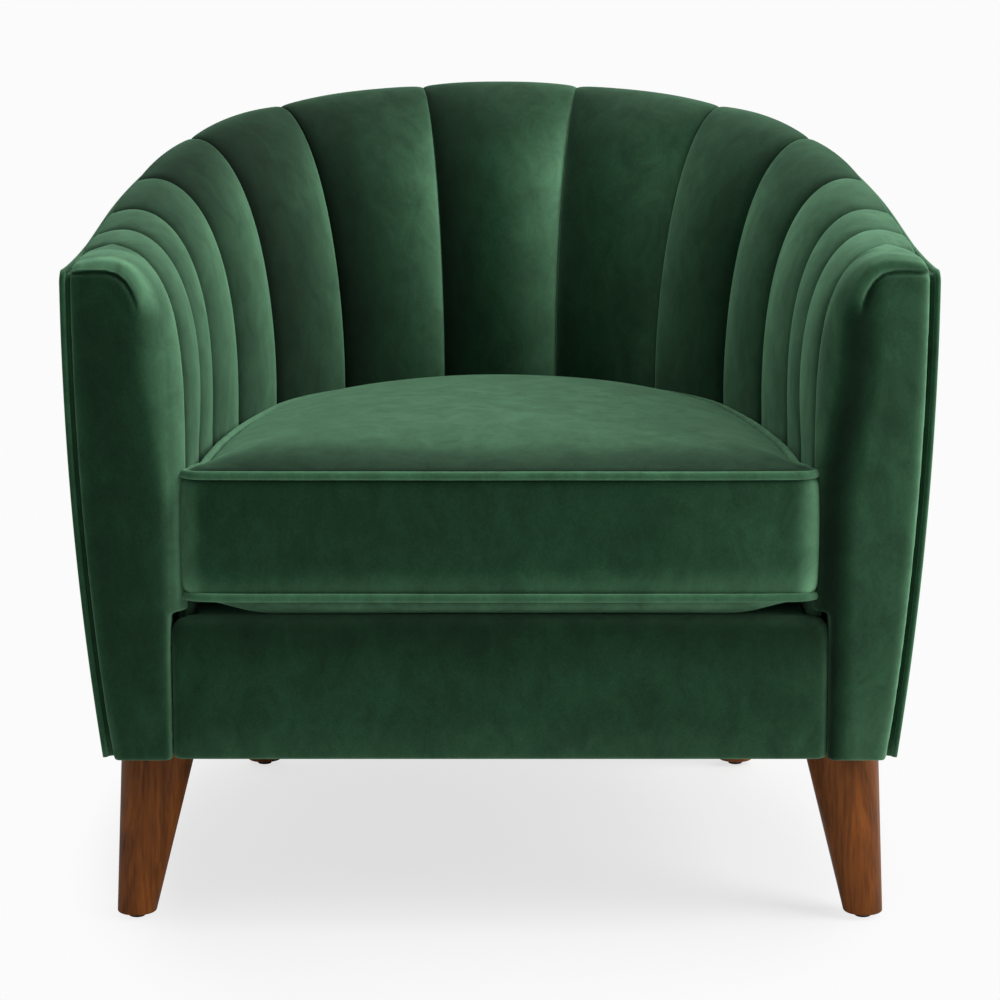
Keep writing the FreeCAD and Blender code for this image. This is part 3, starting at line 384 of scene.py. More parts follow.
barrel = {
    "frontY": -0.36,
    "seatZ": 0.441,
    "bottomZ": 0.296,
    "rimHalf": 0.3922,
    "rimDepth": 0.7122,
    "rimPower": 2.5,
    "lowHalf": 0.362,
    "lowDepth": 0.7,
    "lowPower": 3.0,
    "lowZ": 0.166,
    "bow": 0.0085,
    "armZ": 0.625,
    "rise": 0.118,
    "riseShares": ((0.0, 0.0), (0.1, 0.012), (0.2, 0.062), (0.3, 0.16), (0.41, 0.313), (0.5, 0.438), (0.593, 0.567),
                   (0.712, 0.716), (0.798, 0.808), (0.87, 0.87), (0.93, 0.922), (0.97, 0.965), (1.0, 1.018)),
    "seat": ((0.059, 0.5716), (0.1625, 0.5223), (0.2290, 0.4216), (0.2614, 0.3195), (0.2789, 0.2099),
             (0.2853, 0.1241), (0.2870, 0.0217)),
    "rimShare": (0.0937, 0.2897, 0.4672, 0.6218, 0.7285, 0.8015, 0.8668),
    "upright": (0.35, 0.06), "turn": (-0.11, 0.54), "lift": (0.045, -0.047),
}


def rimHeight(y):
    # smooth curve through the table of shares, level at the arms
    share = clamped(y / barrel["rimDepth"])
    table = barrel["riseShares"]
    index = max(number for number in range(len(table) - 1) if table[number][0] <= share)
    start, end = table[index:index + 2]
    before, after = table[max(index - 1, 0)], table[min(index + 2, len(table) - 1)]
    step = end[0] - start[0]
    startSlope = (end[1] - before[1]) / (end[0] - before[0]) * step if index else 0.0
    endSlope = (after[1] - start[1]) / (after[0] - start[0]) * step
    t = (share - start[0]) / step
    height = start[1] * (1 + 2 * t) * (1 - t) ** 2 + startSlope * t * (1 - t) ** 2
    height += end[1] * t * t * (3 - 2 * t) - endSlope * t * t * (1 - t)
    return barrel["armZ"] + barrel["rise"] * height


def planPoint(half, depth, power, angle):
    # angle runs from 0 at the right arm front over the back to pi at the left one
    x = half * abs(cos(angle)) ** (2 / power) * (1 if cos(angle) >= 0 else -1)
    y = depth * max(sin(angle), 0.0) ** (2 / power)
    return Vector((x, barrel["frontY"] + y, 0.0))


def rimPoint(angle):
    point = planPoint(barrel["rimHalf"], barrel["rimDepth"], barrel["rimPower"], angle)
    point.z = rimHeight(point.y - barrel["frontY"])
    return point


def outward(angle):
    before = rimPoint(max(angle - 0.01, 0.0))
    after = rimPoint(min(angle + 0.01, pi))
    return Vector((after.y - before.y, before.x - after.x, 0.0)).normalized()


def shellPoint(angle, z):
    rim = rimPoint(angle)
    low = planPoint(barrel["lowHalf"], barrel["lowDepth"], barrel["lowPower"], angle)
    low.z = barrel["lowZ"]
    share = (z - low.z) / (rim.z - low.z)
    return low.lerp(rim, share) + outward(angle) * (4 * barrel["bow"] * share * (1 - share))


def angleOnRim(share):
    # angle at a share of the rim's half length from the middle of the back
    steps = 2000
    points = [rimPoint(pi / 2 * (1 - step / steps)) for step in range(steps + 1)]
    lengths = [0.0]
    for first, second in zip(points, points[1:]):
        lengths.append(lengths[-1] + (second.xy - first.xy).length)
    goal = share * lengths[-1]
    index = next(number for number, length in enumerate(lengths) if length >= goal)
    return pi / 2 * (1 - index / steps)


def mirrored(point):
    return Vector((-point.x, *point[1:]))


def makeSeams():
    right = []
    for (x, y), share in zip(barrel["seat"], barrel["rimShare"]):
        angle = angleOnRim(share)
        right.append((Vector((x, barrel["frontY"] + y, barrel["seatZ"])), angle))
    left = [(mirrored(seat), pi - angle) for seat, angle in right]
    return left[::-1] + right


seams = makeSeams()
armSeam = seams[-1]


def wallPoint(seam, station):
    # station -1 is the lower end, 0 the seat line and 1 the rim
    seat, angle = seam
    rim = rimPoint(angle)
    if station < 0:
        return Vector((seat.x, seat.y, seat.z + station * (seat.z - barrel["bottomZ"])))
    rise = (rim.z - barrel["armZ"]) / barrel["rise"]
    upright, turn, lift = (barrel[name][0] + barrel[name][1] * rise for name in ("upright", "turn", "lift"))
    second = Vector((seat.x, seat.y, seat.z + (rim.z - seat.z) * upright))
    third = seat.lerp(rim, turn)
    third.z = rim.z + lift
    rest = 1 - station
    return (seat * rest ** 3 + second * (3 * station * rest ** 2) + third * (3 * station ** 2 * rest)
            + rim * station ** 3)


def wallDirection(seam, station):
    low = max(station - 0.02, -1.0)
    high = min(station + 0.02, 1.0)
    return (wallPoint(seam, high) - wallPoint(seam, low)).normalized()


# making pieces


def finishPiece(name, bm, finish, body, replaced=(), smooth=True):
    bmesh.ops.remove_doubles(bm, verts=bm.verts, dist=0.00002)
    bmesh.ops.recalc_face_normals(bm, faces=bm.faces)
    mesh = meshFrom(bm, name)
    for face in mesh.polygons:
        face.use_smooth = smooth
    mesh.materials.append(finishes[finish])
    piece = linked(name, mesh)
    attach(piece, body)
    if replaced:
        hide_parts(*replaced)
    return piece


def bentSheet(across, along, place, paintedShade=None):
    bm = bmesh.new()
    bmesh.ops.create_grid(bm, x_segments=across, y_segments=along, size=0.5)
    # each vertex carries a painted light-and-shade value
    paintedShading = bm.verts.layers.float.new("paintedShading")
    for vert in bm.verts:
        u, v = vert.co.x + 0.5, vert.co.y + 0.5
        vert[paintedShading] = paintedShade(u, v) if paintedShade else 0.0
        vert.co = place(u, v)
    return bm


def paintShading(bm, value):
    # painted light and shade: below 0 deeper, above 0 paler
    paintedShading = bm.verts.layers.float.get("paintedShading") or bm.verts.layers.float.new("paintedShading")
    for vert in bm.verts:
        vert[paintedShading] = value(vert)


def soften(bm, verts, factor, rounds):
    for step in range(rounds):
        bmesh.ops.smooth_vert(bm, verts=verts, factor=factor, use_axis_x=True, use_axis_y=True, use_axis_z=True)


def roundEdges(bm, edges, offset, segments):
    bmesh.ops.bevel(bm, geom=edges, offset=offset, offset_type="OFFSET", segments=segments, profile=0.5,
                    affect="EDGES", clamp_overlap=True, material=-1)


def sharpEdges(bm):
    return [edge for edge in bm.edges if edge.calc_face_angle(0.0) > 1.0]


def takeShape(helper):
    # the helper's shape with its modifiers; the helper itself goes
    shaped = bpy.data.meshes.new_from_object(helper.evaluated_get(bpy.context.evaluated_depsgraph_get()))
    bpy.data.objects.remove(helper)
    bm = bmesh.new()
    bm.from_mesh(shaped)
    bpy.data.meshes.remove(shaped)
    return bm


def thicken(bm, thickness, outside):
    # the sheet's own face stays where it is, facing the given point, and the wall goes behind it
    bmesh.ops.recalc_face_normals(bm, faces=bm.faces)
    bm.faces.ensure_lookup_table()
    middle = bm.faces[len(bm.faces) // 2]
    if middle.normal.dot(outside - middle.calc_center_median()) < 0:
        bmesh.ops.reverse_faces(bm, faces=bm.faces)
    bmesh.ops.solidify(bm, geom=bm.faces[:], thickness=thickness)


def lofted(rings):
    bm = bmesh.new()
    loops = []
    for points in rings:
        verts = [bm.verts.new(point) for point in points]
        loops.append([bm.edges.new((verts[index - 1], verts[index])) for index in range(len(verts))])
    for low, high in zip(loops, loops[1:]):
        bmesh.ops.bridge_loops(bm, edges=low + high)
    bmesh.ops.contextual_create(bm, geom=loops[0])
    bmesh.ops.contextual_create(bm, geom=loops[-1])
    bmesh.ops.recalc_face_normals(bm, faces=bm.faces)
    return bm


def remeshed(bm, voxel, rounds):
    # even quads over a rough form, then softened
    bmesh.ops.triangulate(bm, faces=bm.faces)
    rough = meshFrom(bm, "roughForm")
    helper = linked("roughForm", rough)
    modifier = helper.modifiers.new("voxels", "REMESH")
    modifier.mode = "VOXEL"
    modifier.voxel_size = voxel
    even = takeShape(helper)
    bpy.data.meshes.remove(rough)
    soften(even, even.verts, 0.5, rounds)
    return even


def sideName(sign):
    return "right" if sign > 0 else "left"


# channels: padded strips between neighbouring seams

channelPads = {
    "across": 28, "along": 76, "gather": 0.11, "groove": 0.0045, "edge": 0.0075, "thickness": 0.011,
    "lowShare": 0.1, "tuckShare": 0.08, "tuckOut": 0.0065, "tuckDrop": 0.011, "rimInset": 0.006,
    "grooveFade": 0.6, "insetStart": 0.75, "flapReach": 0.015, "flapDrop": 0.005, "flapRise": (0.8, 0.95),
    "seatCrown": 0.02, "midCrown": 0.078, "rimCrown": 0.017, "bowStart": 0.45,
    "inside": (0.0, -0.3, 0.9), "shadeRise": (0.5, 0.92), "shadeFade": 0.6, "shadeEdge": 0.15,
    # painted light and shade of each channel: the slope across it, an even offset, and the value near the rim
    # one value for each channel, from the left arm over the back to the right arm
    "acrossShading": (0.6, 0.6, 0.65, 0.8, 0.95, 1.2, 1.55, 0.65, -0.45, -0.45, -0.5, -0.45, -0.4),
    "shadingValues": (0.05, 0.05, 0.05, -0.12, -0.7, -0.35, 0.12, 0.15, 0.1, 0.35, 0.85, 0.5, 0.5),
    "rimShading": (-0.1, -0.3, -0.9, -1.55, -1.2, -0.9, -0.75, -0.7, -0.75, -0.85, -0.6, -0.2, 0.0),
}


def channelOut(index, station):
    first, second = seams[index], seams[index + 1]
    across = wallPoint(second, station) - wallPoint(first, station)
    along = wallDirection(first, station) + wallDirection(second, station)
    return across.cross(along).normalized()


def seamOut(index, station):
    # direction out of a seam, shared by the two channels that meet there
    low = max(index - 1, 0)
    high = min(index, len(seams) - 2)
    return (channelOut(low, station) + channelOut(high, station)).normalized()


def channelStation(v):
    # share of the roll, and how far the end has turned down behind the piping
    values = channelPads
    tuckAt = 1 - values["tuckShare"]
    if v < values["lowShare"]:
        return v / values["lowShare"] - 1, 0.0
    station = min((v - values["lowShare"]) / (tuckAt - values["lowShare"]), 1.0)
    return station, max(0.0, (v - tuckAt) / values["tuckShare"])


def gathered(u):
    # columns stand closer together at the seams
    return u - channelPads["gather"] * sin(2 * pi * u)


def splitFlap(index, u):
    # the last column of the two end channels runs on under the arm pad
    width = 1 / channelPads["across"]
    if index == 0:
        return max(0.0, (u - width) / (1 - width)), max(0.0, 1 - u / width)
    if index == len(seams) - 2:
        return min(1.0, u / (1 - width)), max(0.0, 1 - (1 - u) / width)
    return u, 0.0


def channelPlace(index):
    values = channelPads
    first, second = seams[index], seams[index + 1]
    rows = {}

    def row(v):
        station, tucked = channelStation(v)
        start = wallPoint(first, station)
        end = wallPoint(second, station)
        share = max(station, 0.0)
        crown = values["seatCrown"] * (1 - share) ** 2 + values["rimCrown"] * share ** 2
        crown += values["midCrown"] * 4 * share * (1 - share) * (1 - share ** 3)
        outs = seamOut(index, station), channelOut(index, station), seamOut(index + 1, station)
        return station, tucked, start, end, crown * (end - start).length, outs

    def place(u, v):
        if v not in rows:
            rows[v] = row(v)
        station, tucked, start, end, crown, outs = rows[v]
        u, flap = splitFlap(index, u)
        t = gathered(u)
        edgePower = max(2.0, (end - start).length / values["edge"])
        side = outs[0] if t < 0.5 else outs[2]
        nearSeam = abs(2 * t - 1)
        point = start.lerp(end, t) + outs[1] * (crown * 4 * t * (1 - t))
        groove = values["groove"] * (1 - values["grooveFade"] * max(station, 0.0) ** 6)
        point -= side * (groove * nearSeam ** edgePower)
        angle = first[1] + (second[1] - first[1]) * t
        bow = rimPoint(angle) - rimPoint(first[1]).lerp(rimPoint(second[1]), t)
        point += bow * shareBeyond(station, values["bowStart"]) ** 2
        away = outward(angle)
        point -= away * (values["rimInset"] * shareBeyond(station, values["insetStart"]) ** 2)
        turn = tucked * pi / 2
        point += away * (values["tuckOut"] * sin(turn))
        point.z -= values["tuckDrop"] * (1 - cos(turn))
        beyond = start - end if index == 0 else end - start
        flap *= smoothStep(station, *values["flapRise"])
        return point + beyond.normalized() * (values["flapReach"] * flap) - side * (values["flapDrop"] * flap)

    return place


def channelShading(index):
    # painted light and shade of each channel: paler towards one seam and deeper towards the other, with an even
    # offset, giving way over the roll to a value of its own, mostly painted shade near the rim
    values = channelPads
    strength, middle, rim = (values[name][index] for name in ("acrossShading", "shadingValues", "rimShading"))

    def paintedShading(u, v):
        t = 2 * gathered(splitFlap(index, u)[0]) - 1
        nearRim = smoothStep(channelStation(v)[0], *values["shadeRise"])
        lie = strength * t * abs(t) ** values["shadeEdge"] + middle
        return lie * (1 - values["shadeFade"] * nearRim) + rim * nearRim

    return paintedShading


def makeChannels():
    for index in range(len(seams) - 1):
        number = index - 6
        name = "channel_centre" if number == 0 else f"channel_{abs(number)}_{sideName(number)}"
        bm = bentSheet(channelPads["across"], channelPads["along"], channelPlace(index), channelShading(index))
        thicken(bm, channelPads["thickness"], Vector(channelPads["inside"]))
        piece = finishPiece("padded_" + name, bm, "velvet", "chair", [name])
    print("channels done")


makeChannels()

# arm fronts: one soft form from the outside edge round to the first seam

armPads = {
    "depths": (0.0, 0.0008, 0.0025, 0.0062, 0.0068, 0.01, 0.014, 0.02, 0.03, 0.07, 0.16),
    "edgeRound": 0.004, "wrap": 0.0012, "wrapDepth": 0.0065, "footRound": 0.006, "innerRound": 0.03,
    "lipRound": 0.003, "lipFall": 0.0045, "fallDepth": 0.02, "tail": 0.013, "rollTop": 0.94, "rollSteps": 30,
    "cornerRound": 0.012, "innerX": 0.304, "stepZ": 0.306, "cover": 0.0047, "sink": 0.0046,
    "voxel": 0.0021, "smoothing": 3, "crown": 0.0035, "lipGroove": 0.0065, "lipWidth": 0.0022,
    "faceDepth": 0.02, "faceFade": 0.012, "crownX": 0.348, "crownReach": 0.045, "crownLow": (0.18, 0.03),
    "crownHigh": (0.62, 0.04), "lipDepth": 0.03, "lipFade": 0.01, "lipEnd": 0.55, "tailWide": (0.06, 0.02),
    "tailRise": (0.55, 0.6), "tailDepth": (-0.035, -0.001), "lipMiddle": (0.362, 0.575),
    "lipLine": ((0.3945, 0.6140), (0.3890, 0.6195), (0.3831, 0.6212), (0.3700, 0.6218), (0.3560, 0.6216),
                (0.3465, 0.6190), (0.3390, 0.6130), (0.3330, 0.6035), (0.3295, 0.5945), (0.3275, 0.5830)),
}


# painted light and shade of the front, the turn, the inner roll and the top, and a shift of the turn's inner side;
# the right arm is painted paler at the front than the left, and both paler at the foot and the outer edge
armShading = {
    "shadingValues": {-1: (-0.4, -0.15, 0.6, 1.5, 0.013), 1: (0.3, -1.1, 0.45, 0.5, 0.0)},
    "turnX": 0.306, "turnLean": 0.024, "turnRise": (0.37, 0.57), "foot": 0.35, "footRise": (0.17, 0.28),
    "edge": 0.55, "edgeReach": (-0.016, -0.004), "turnReach": (-0.004, 0.022), "innerReach": (-0.026, -0.006),
    "topRise": (0.575, 0.602), "topDepth": 0.05, "topFade": (0.003, 0.013), "topLoss": 0.75,
    "lipReach": (0.0004, 0.0028),
}


def drawnIn(radius, distance):
    if distance >= radius:
        return 0.0
    return radius - sqrt(radius ** 2 - (radius - distance) ** 2)


def cornerArc(x, y, z, radius):
    # points of a rounded upper corner, from its centre
    return [Vector((x + radius * cos(angle), y, z + radius * sin(angle)))
            for angle in (pi / 8, pi / 4, 3 * pi / 8, pi / 2)]


def armRing(depth):
    values = armPads
    edge = drawnIn(values["edgeRound"], depth)
    fall = max(0.0, 1 - depth / values["fallDepth"]) ** 2
    lip = drawnIn(values["lipRound"], depth) + values["lipFall"] * fall
    inner = drawnIn(values["innerRound"], depth)
    side = edge + (values["sink"] * depth / values["depths"][-1] if depth > 0.03 else 0.0)
    side -= values["wrap"] if depth < values["wrapDepth"] else 0.0
    y = barrel["frontY"] + depth
    lowZ = barrel["lowZ"]
    rollPoints = []
    for step in range(values["rollSteps"] + 1):
        station = values["rollTop"] * (1 - step / values["rollSteps"])
        point = wallPoint(armSeam, station)
        direction = wallDirection(armSeam, station)
        level = sqrt(direction.x ** 2 + direction.y ** 2)
        inset = inner + (lip - inner) * level ** 2
        rollPoints.append(Vector((point.x + inset * direction.z, y, point.z - inset * level)))
    topZ = rollPoints[0].z - 0.001
    corner = values["cornerRound"]
    outer = []
    for step in range(19):
        z = lowZ + (topZ - corner - lowZ) * step / 18
        outer.append(Vector((shellPoint(0.0, z).x - values["cover"] - side, y, z)))
    turn = cornerArc(outer[-1].x - corner, y, topZ - corner, corner)
    lowX = values["innerX"] + drawnIn(values["footRound"], depth)
    lower = [Vector((rollPoints[-1].x, y, z)) for z in (0.4, 0.36, 0.33, values["stepZ"])]
    lower += [Vector((lowX, y, z)) for z in (values["stepZ"], 0.26, 0.21, lowZ)]
    return outer + turn + rollPoints + lower


def lineDistance(point, line):
    # distance in the upright plane, and the share along the line
    best = (1.0, 0.0)
    for index in range(len(line) - 1):
        start = Vector(line[index])
        run = Vector(line[index + 1]) - start
        share = clamped((point - start).dot(run) / run.length_squared)
        distance = (point - start - run * share).length
        if distance < best[0]:
            best = (distance, (index + share) / (len(line) - 1))
    return best


def lineAt(line, share):
    index = min(int(share * (len(line) - 1)), len(line) - 2)
    return Vector(line[index]).lerp(Vector(line[index + 1]), share * (len(line) - 1) - index)


def armShadingAt(vert, sign):
    # painted light and shade on the front face, the turn beside it, inner roll and top, each with its own value
    values = armShading
    front, turn, inner, top, shift = values["shadingValues"][sign]
    x, z = abs(vert.co.x), vert.co.z
    middle = values["turnX"] + values["turnLean"] * smoothStep(z, *values["turnRise"])
    lie = front + values["foot"] * (1 - smoothStep(z, *values["footRise"]))
    lie += values["edge"] * smoothStep(x - shellPoint(0.0, z).x, *values["edgeReach"])
    lie += (turn - lie) * (1 - smoothStep(x - middle, *values["turnReach"]))
    lie += (inner - lie) * (1 - smoothStep(x - middle - shift, *values["innerReach"]))
    depth = vert.co.y - barrel["frontY"]
    if z > values["topRise"][0] and depth < values["topDepth"]:
        place = Vector((x, z))
        distance, share = lineDistance(place, armPads["lipLine"])
        nearest = lineAt(armPads["lipLine"], share)
        middle = Vector(armPads["lipMiddle"])
        beyond = distance if (place - middle).length > (nearest - middle).length else -distance
        onTop = smoothStep(beyond, *values["lipReach"]) * smoothStep(z, *values["topRise"])
        lie += (top * (1 - values["topLoss"] * smoothStep(depth, *values["topFade"])) - lie) * onTop
    return lie


def armBlank(seat, back):
    # the lofted pad, cut off where the first channel begins
    bm = lofted([armRing(depth) for depth in armPads["depths"]])
    cut = bmesh.ops.bisect_plane(bm, geom=bm.verts[:] + bm.edges[:] + bm.faces[:], dist=0.00001,
                                 plane_co=seat - back * 0.0004, plane_no=back, clear_outer=True)
    bmesh.ops.edgeloop_fill(bm, edges=[part for part in cut["geom_cut"] if isinstance(part, bmesh.types.BMEdge)])
    return remeshed(bm, armPads["voxel"], armPads["smoothing"])


def shapeArmFace(vert):
    # a little crowned, with a groove along the lip
    values = armPads
    front = clamped((barrel["frontY"] + values["faceDepth"] - vert.co.y) / values["faceFade"])
    if front == 0.0:
        return
    (lowZ, lowFade), (highZ, highFade) = values["crownLow"], values["crownHigh"]
    height = clamped((vert.co.z - lowZ) / lowFade) * clamped((highZ - vert.co.z) / highFade)
    middle = max(0.0, 1 - ((vert.co.x - values["crownX"]) / values["crownReach"]) ** 2)
    vert.co.y -= values["crown"] * middle * height * front
    distance, share = lineDistance(Vector((vert.co.x, vert.co.z)), values["lipLine"])
    fade = 1 - shareBeyond(share, values["lipEnd"]) ** 1.5
    near = clamped((barrel["frontY"] + values["lipDepth"] - vert.co.y) / values["lipFade"])
    vert.co.y += values["lipGroove"] * fade * near * exp(-((distance / values["lipWidth"]) ** 2))


def makeArmFronts():
    values = armPads
    seat, angle = armSeam
    way = rimPoint(angle) - seat
    way.z = 0.0
    reach = way.length
    run = way.normalized()
    back = Vector((-run.y, run.x, 0.0))
    bm = armBlank(seat, back)
    for vert in bm.verts:
        # the outer end of the roll runs on under the first channel
        place = vert.co - seat
        outer = smoothStep(place.dot(run), *(reach - gap for gap in values["tailWide"]))
        outer *= smoothStep(vert.co.z, *values["tailRise"])
        vert.co += back * (values["tail"] * outer * smoothStep(place.dot(back), *values["tailDepth"]))
        shapeArmFace(vert)
    for sign in (1, -1):
        half = bm.copy()
        if sign < 0:
            bmesh.ops.scale(half, vec=(-1.0, 1.0, 1.0), verts=half.verts)
        paintShading(half, lambda vert: armShadingAt(vert, sign))
        name = "arm_front_" + sideName(sign)
        piece = finishPiece("padded_" + name, half, "velvet", "chair", [name])
    bm.free()
    print("arm fronts done")


makeArmFronts()

# outside covers: stretched cloth from the lower edge up under the welt

outsideCovers = {
    "firstDepth": 0.0076, "splitAngle": 0.78, "gap": 0.0006, "thickness": 0.004, "topDrop": 0.0085,
    "lowRise": 0.0022, "columns": 60, "rows": 24, "edge": 0.0014,
}


def angleAtDepth(depth):
    # where the rim is this far behind the arm fronts
    return asin((depth / barrel["rimDepth"]) ** (barrel["rimPower"] / 2))


def coverPlace(firstAngle, lastAngle):
    values = outsideCovers

    def place(u, v):
        angle = firstAngle + (lastAngle - firstAngle) * u
        topZ = rimPoint(angle).z - values["topDrop"]
        lowZ = barrel["lowZ"] + values["lowRise"]
        return shellPoint(angle, lowZ + (topZ - lowZ) * v)

    return place


def makeCovers():
    values = outsideCovers
    firstAngle = angleAtDepth(values["firstDepth"])
    split, gap = values["splitAngle"], values["gap"]
    spans = {
        "outside_arm_right": (firstAngle, split - gap),
        "outside_back": (split + gap, pi - split - gap),
        "outside_arm_left": (pi - split + gap, pi - firstAngle),
    }
    for name, (first, last) in spans.items():
        bm = bentSheet(values["columns"], values["rows"], coverPlace(first, last))
        middle = (first + last) / 2
        thicken(bm, values["thickness"], shellPoint(middle, 0.4) + outward(middle))
        roundEdges(bm, sharpEdges(bm), values["edge"], 2)
        finishPiece("stretched_" + name, bm, "velvet", "chair", [name])
    print("outside covers done")


makeCovers()

# front border: padded face with soft upper corners, its top turned back under the cushion

borderPad = {
    "depths": (0.0, 0.0012, 0.004, 0.008, 0.012, 0.018, 0.0335, 0.0345, 0.092),
    "halfWidth": 0.3035, "backHalf": 0.285, "front": 0.0025, "topZ": 0.3, "topRound": 0.014,
    "sideRound": 0.006, "cornerRound": 0.012, "topThickness": 0.008, "voxel": 0.003, "smoothing": 4, "crown": 0.004,
    "crownZ": 0.232, "crownReach": 0.07, "faceDepth": 0.012, "faceFade": 0.01, "endX": 0.31, "endFade": 0.04,
    "highShade": -0.5, "highRise": (0.235, 0.29), "lowLight": 0.22, "lowFall": (-0.21, -0.17),
}


def borderRing(depth):
    values = borderPad
    top = drawnIn(values["topRound"], depth)
    side = drawnIn(values["sideRound"], depth)
    half = (values["halfWidth"] if depth < 0.02 else values["backHalf"]) - side
    highZ = values["topZ"] - top
    lowZ = barrel["lowZ"] + min(side, 0.001) if depth < 0.034 else highZ - values["topThickness"]
    radius = values["cornerRound"] if depth < 0.034 else 0.003
    y = barrel["frontY"] + values["front"] + depth
    points = [Vector((-half + 2 * half * step / 24, y, lowZ)) for step in range(25)]
    points += [Vector((half, y, lowZ + (highZ - radius - lowZ) * step / 7)) for step in range(1, 8)]
    points += cornerArc(half - radius, y, highZ - radius, radius)
    return points + [mirrored(point) for point in points[-1:24:-1]]


def makeBorder():
    bm = lofted([borderRing(depth) for depth in borderPad["depths"]])
    bm = remeshed(bm, borderPad["voxel"], borderPad["smoothing"])
    front = barrel["frontY"] + borderPad["front"]
    for vert in bm.verts:
        share = clamped((front + borderPad["faceDepth"] - vert.co.y) / borderPad["faceFade"])
        height = max(0.0, 1 - ((vert.co.z - borderPad["crownZ"]) / borderPad["crownReach"]) ** 2)
        ends = clamped((borderPad["endX"] - abs(vert.co.x)) / borderPad["endFade"])
        vert.co.y -= borderPad["crown"] * share * height * ends
    # painted shade along the top under the cushion's overhang, and painted light paler towards the lower edge
    paintShading(bm, lambda vert: borderPad["highShade"] * smoothStep(vert.co.z, *borderPad["highRise"])
          + borderPad["lowLight"] * smoothStep(-vert.co.z, *borderPad["lowFall"]))
    piece = finishPiece("padded_front_border", bm, "velvet", "chair", ["front_border"])
    print("front border done")


makeBorder()

# piping

pipes = {
    "radius": 0.0028, "rimOut": 0.0036, "rimDrop": 0.010, "points": 60, "rimDepth": 0.022, "frontDepth": 0.0036,
    "flange": 0.0105, "flangeThickness": 0.0012,
    "frontZ": (0.1695, 0.2, 0.26, 0.33, 0.4, 0.47, 0.54, 0.585, 0.606),
    # steps round the corner, each with the way the flange goes there
    "corner": (((0.0, 0.0, -0.0055), (-1.0, 0.35, 0.0)), ((-0.0006, 0.0015, -0.0005), (-1.0, 0.3, -0.3)),
               ((0.0, 0.008, 0.0012), (-1.0, 0.0, -0.4))),
}


def pipeMesh(name, points, radius, closed):
    data = bpy.data.curves.new(name, "CURVE")
    data.dimensions = "3D"
    data.bevel_depth = radius
    data.bevel_resolution = 4
    data.resolution_u = 4
    data.use_fill_caps = not closed
    spline = data.splines.new("NURBS")
    spline.points.add(len(points) - 1)
    for place, point in zip(spline.points, points):
        place.co = (*point, 1.0)
    spline.order_u = 3
    spline.use_endpoint_u = not closed
    spline.use_cyclic_u = closed
    return takeShape(linked(name, data))


def weltLine():
    # points of the outer piping's right half, each with the way its flange goes in between the covers
    values = pipes
    out = values["rimOut"]
    y = barrel["frontY"] + values["frontDepth"]
    topZ = barrel["armZ"] - values["rimDrop"] / 2
    line = [(Vector((shellPoint(0.0, z).x + out, y + 0.001, z)), Vector((-1.0, 0.5, 0.0)))
            for z in values["frontZ"]]
    corner = Vector((barrel["rimHalf"] + out, y, topZ))
    line += [(corner + Vector(step), Vector(way)) for step, way in values["corner"]]
    firstAngle = angleAtDepth(values["rimDepth"])
    for step in range(values["points"]):
        angle = firstAngle + (pi / 2 - firstAngle) * step / (values["points"] - 1)
        away = outward(angle)
        drop = values["rimDrop"] * min(1.0, 0.5 + step / 12)
        point = rimPoint(angle) + away * out - Vector((0.0, 0.0, drop))
        line.append((point, Vector((-away.x, -away.y, -0.4))))
    return line


def flangeBetween(line):
    reach = pipes["flange"]
    bm = bmesh.new()
    bmesh.ops.create_grid(bm, x_segments=len(line) - 1, y_segments=2, size=0.5)
    for vert in bm.verts:
        point, way = line[round((vert.co.x + 0.5) * (len(line) - 1))]
        vert.co = point + way * (reach * (vert.co.y + 0.5))
    bmesh.ops.recalc_face_normals(bm, faces=bm.faces)
    bmesh.ops.solidify(bm, geom=bm.faces[:], thickness=pipes["flangeThickness"])
    return bm


def makeOuterWelt():
    right = weltLine()
    line = right + [(mirrored(point), mirrored(way)) for point, way in right[-2::-1]]
    bm = pipeMesh("outer_piping", [point for point, way in line], pipes["radius"], False)
    flange = meshFrom(flangeBetween(line), "flange")
    bm.from_mesh(flange)
    bpy.data.meshes.remove(flange)
    finishPiece("outer_piping", bm, "piping", "chair", ["outer_welt"])
    print("outer welt done")


makeOuterWelt()

# seat cushion: boxed, crowned, blown up a little with the cloth solver

cushion = {
    "backRadius": 0.236, "backCentreY": -0.038, "halfWidth": 0.274, "cornerRound": 0.019, "frontY": -0.357,
    "lowWelt": 0.3205, "highWelt": 0.4345, "grow": 0.0035, "boxBulge": 0.0025, "flare": 0.018,
    "flareStart": 0.05, "flareFull": 0.02, "highest": 0.466, "lowest": 0.3004,
    "topCrown": 0.025, "lowCrown": 0.0215, "lowLift": 0.85, "voxel": 0.005,
    "shrinks": (0.12, 0.35, 0.55, 0.72, 0.85, 0.91, 0.95, 0.98), "lowPower": 40, "topPower": 4.5,
    "boxLevels": (0.0, 0.12, 0.3, 0.5, 0.7, 0.88, 1.0), "cornerX": (0.215, 0.292), "cornerY": (0.2, 0.33),
    "frames": 20, "capUp": 0.012, "capSide": 0.003, "capDown": 0.002, "capUnder": 0.0005,
    "pinReach": 0.006, "pinY": -0.08, "pinOut": 0.012, "pipePull": 0.55, "pipeShading": 0.6,
    "seamDepth": 0.0032, "seamWidth": 0.0056, "pipeOut": 0.0045, "pipeRadius": 0.0041, "middleY": -0.0795,
    "topSmoothing": 50, "ripple": (9, 9, 14), "rippleUp": 0.0006, "rippleOut": 0.0008,
}
pressure = {
    "quality": 6, "mass": 0.3, "tension_stiffness": 12, "compression_stiffness": 12, "bending_stiffness": 0.6,
    "use_pressure": True, "uniform_pressure_force": 4.0, "vertex_group_mass": "pipedEdges",
}


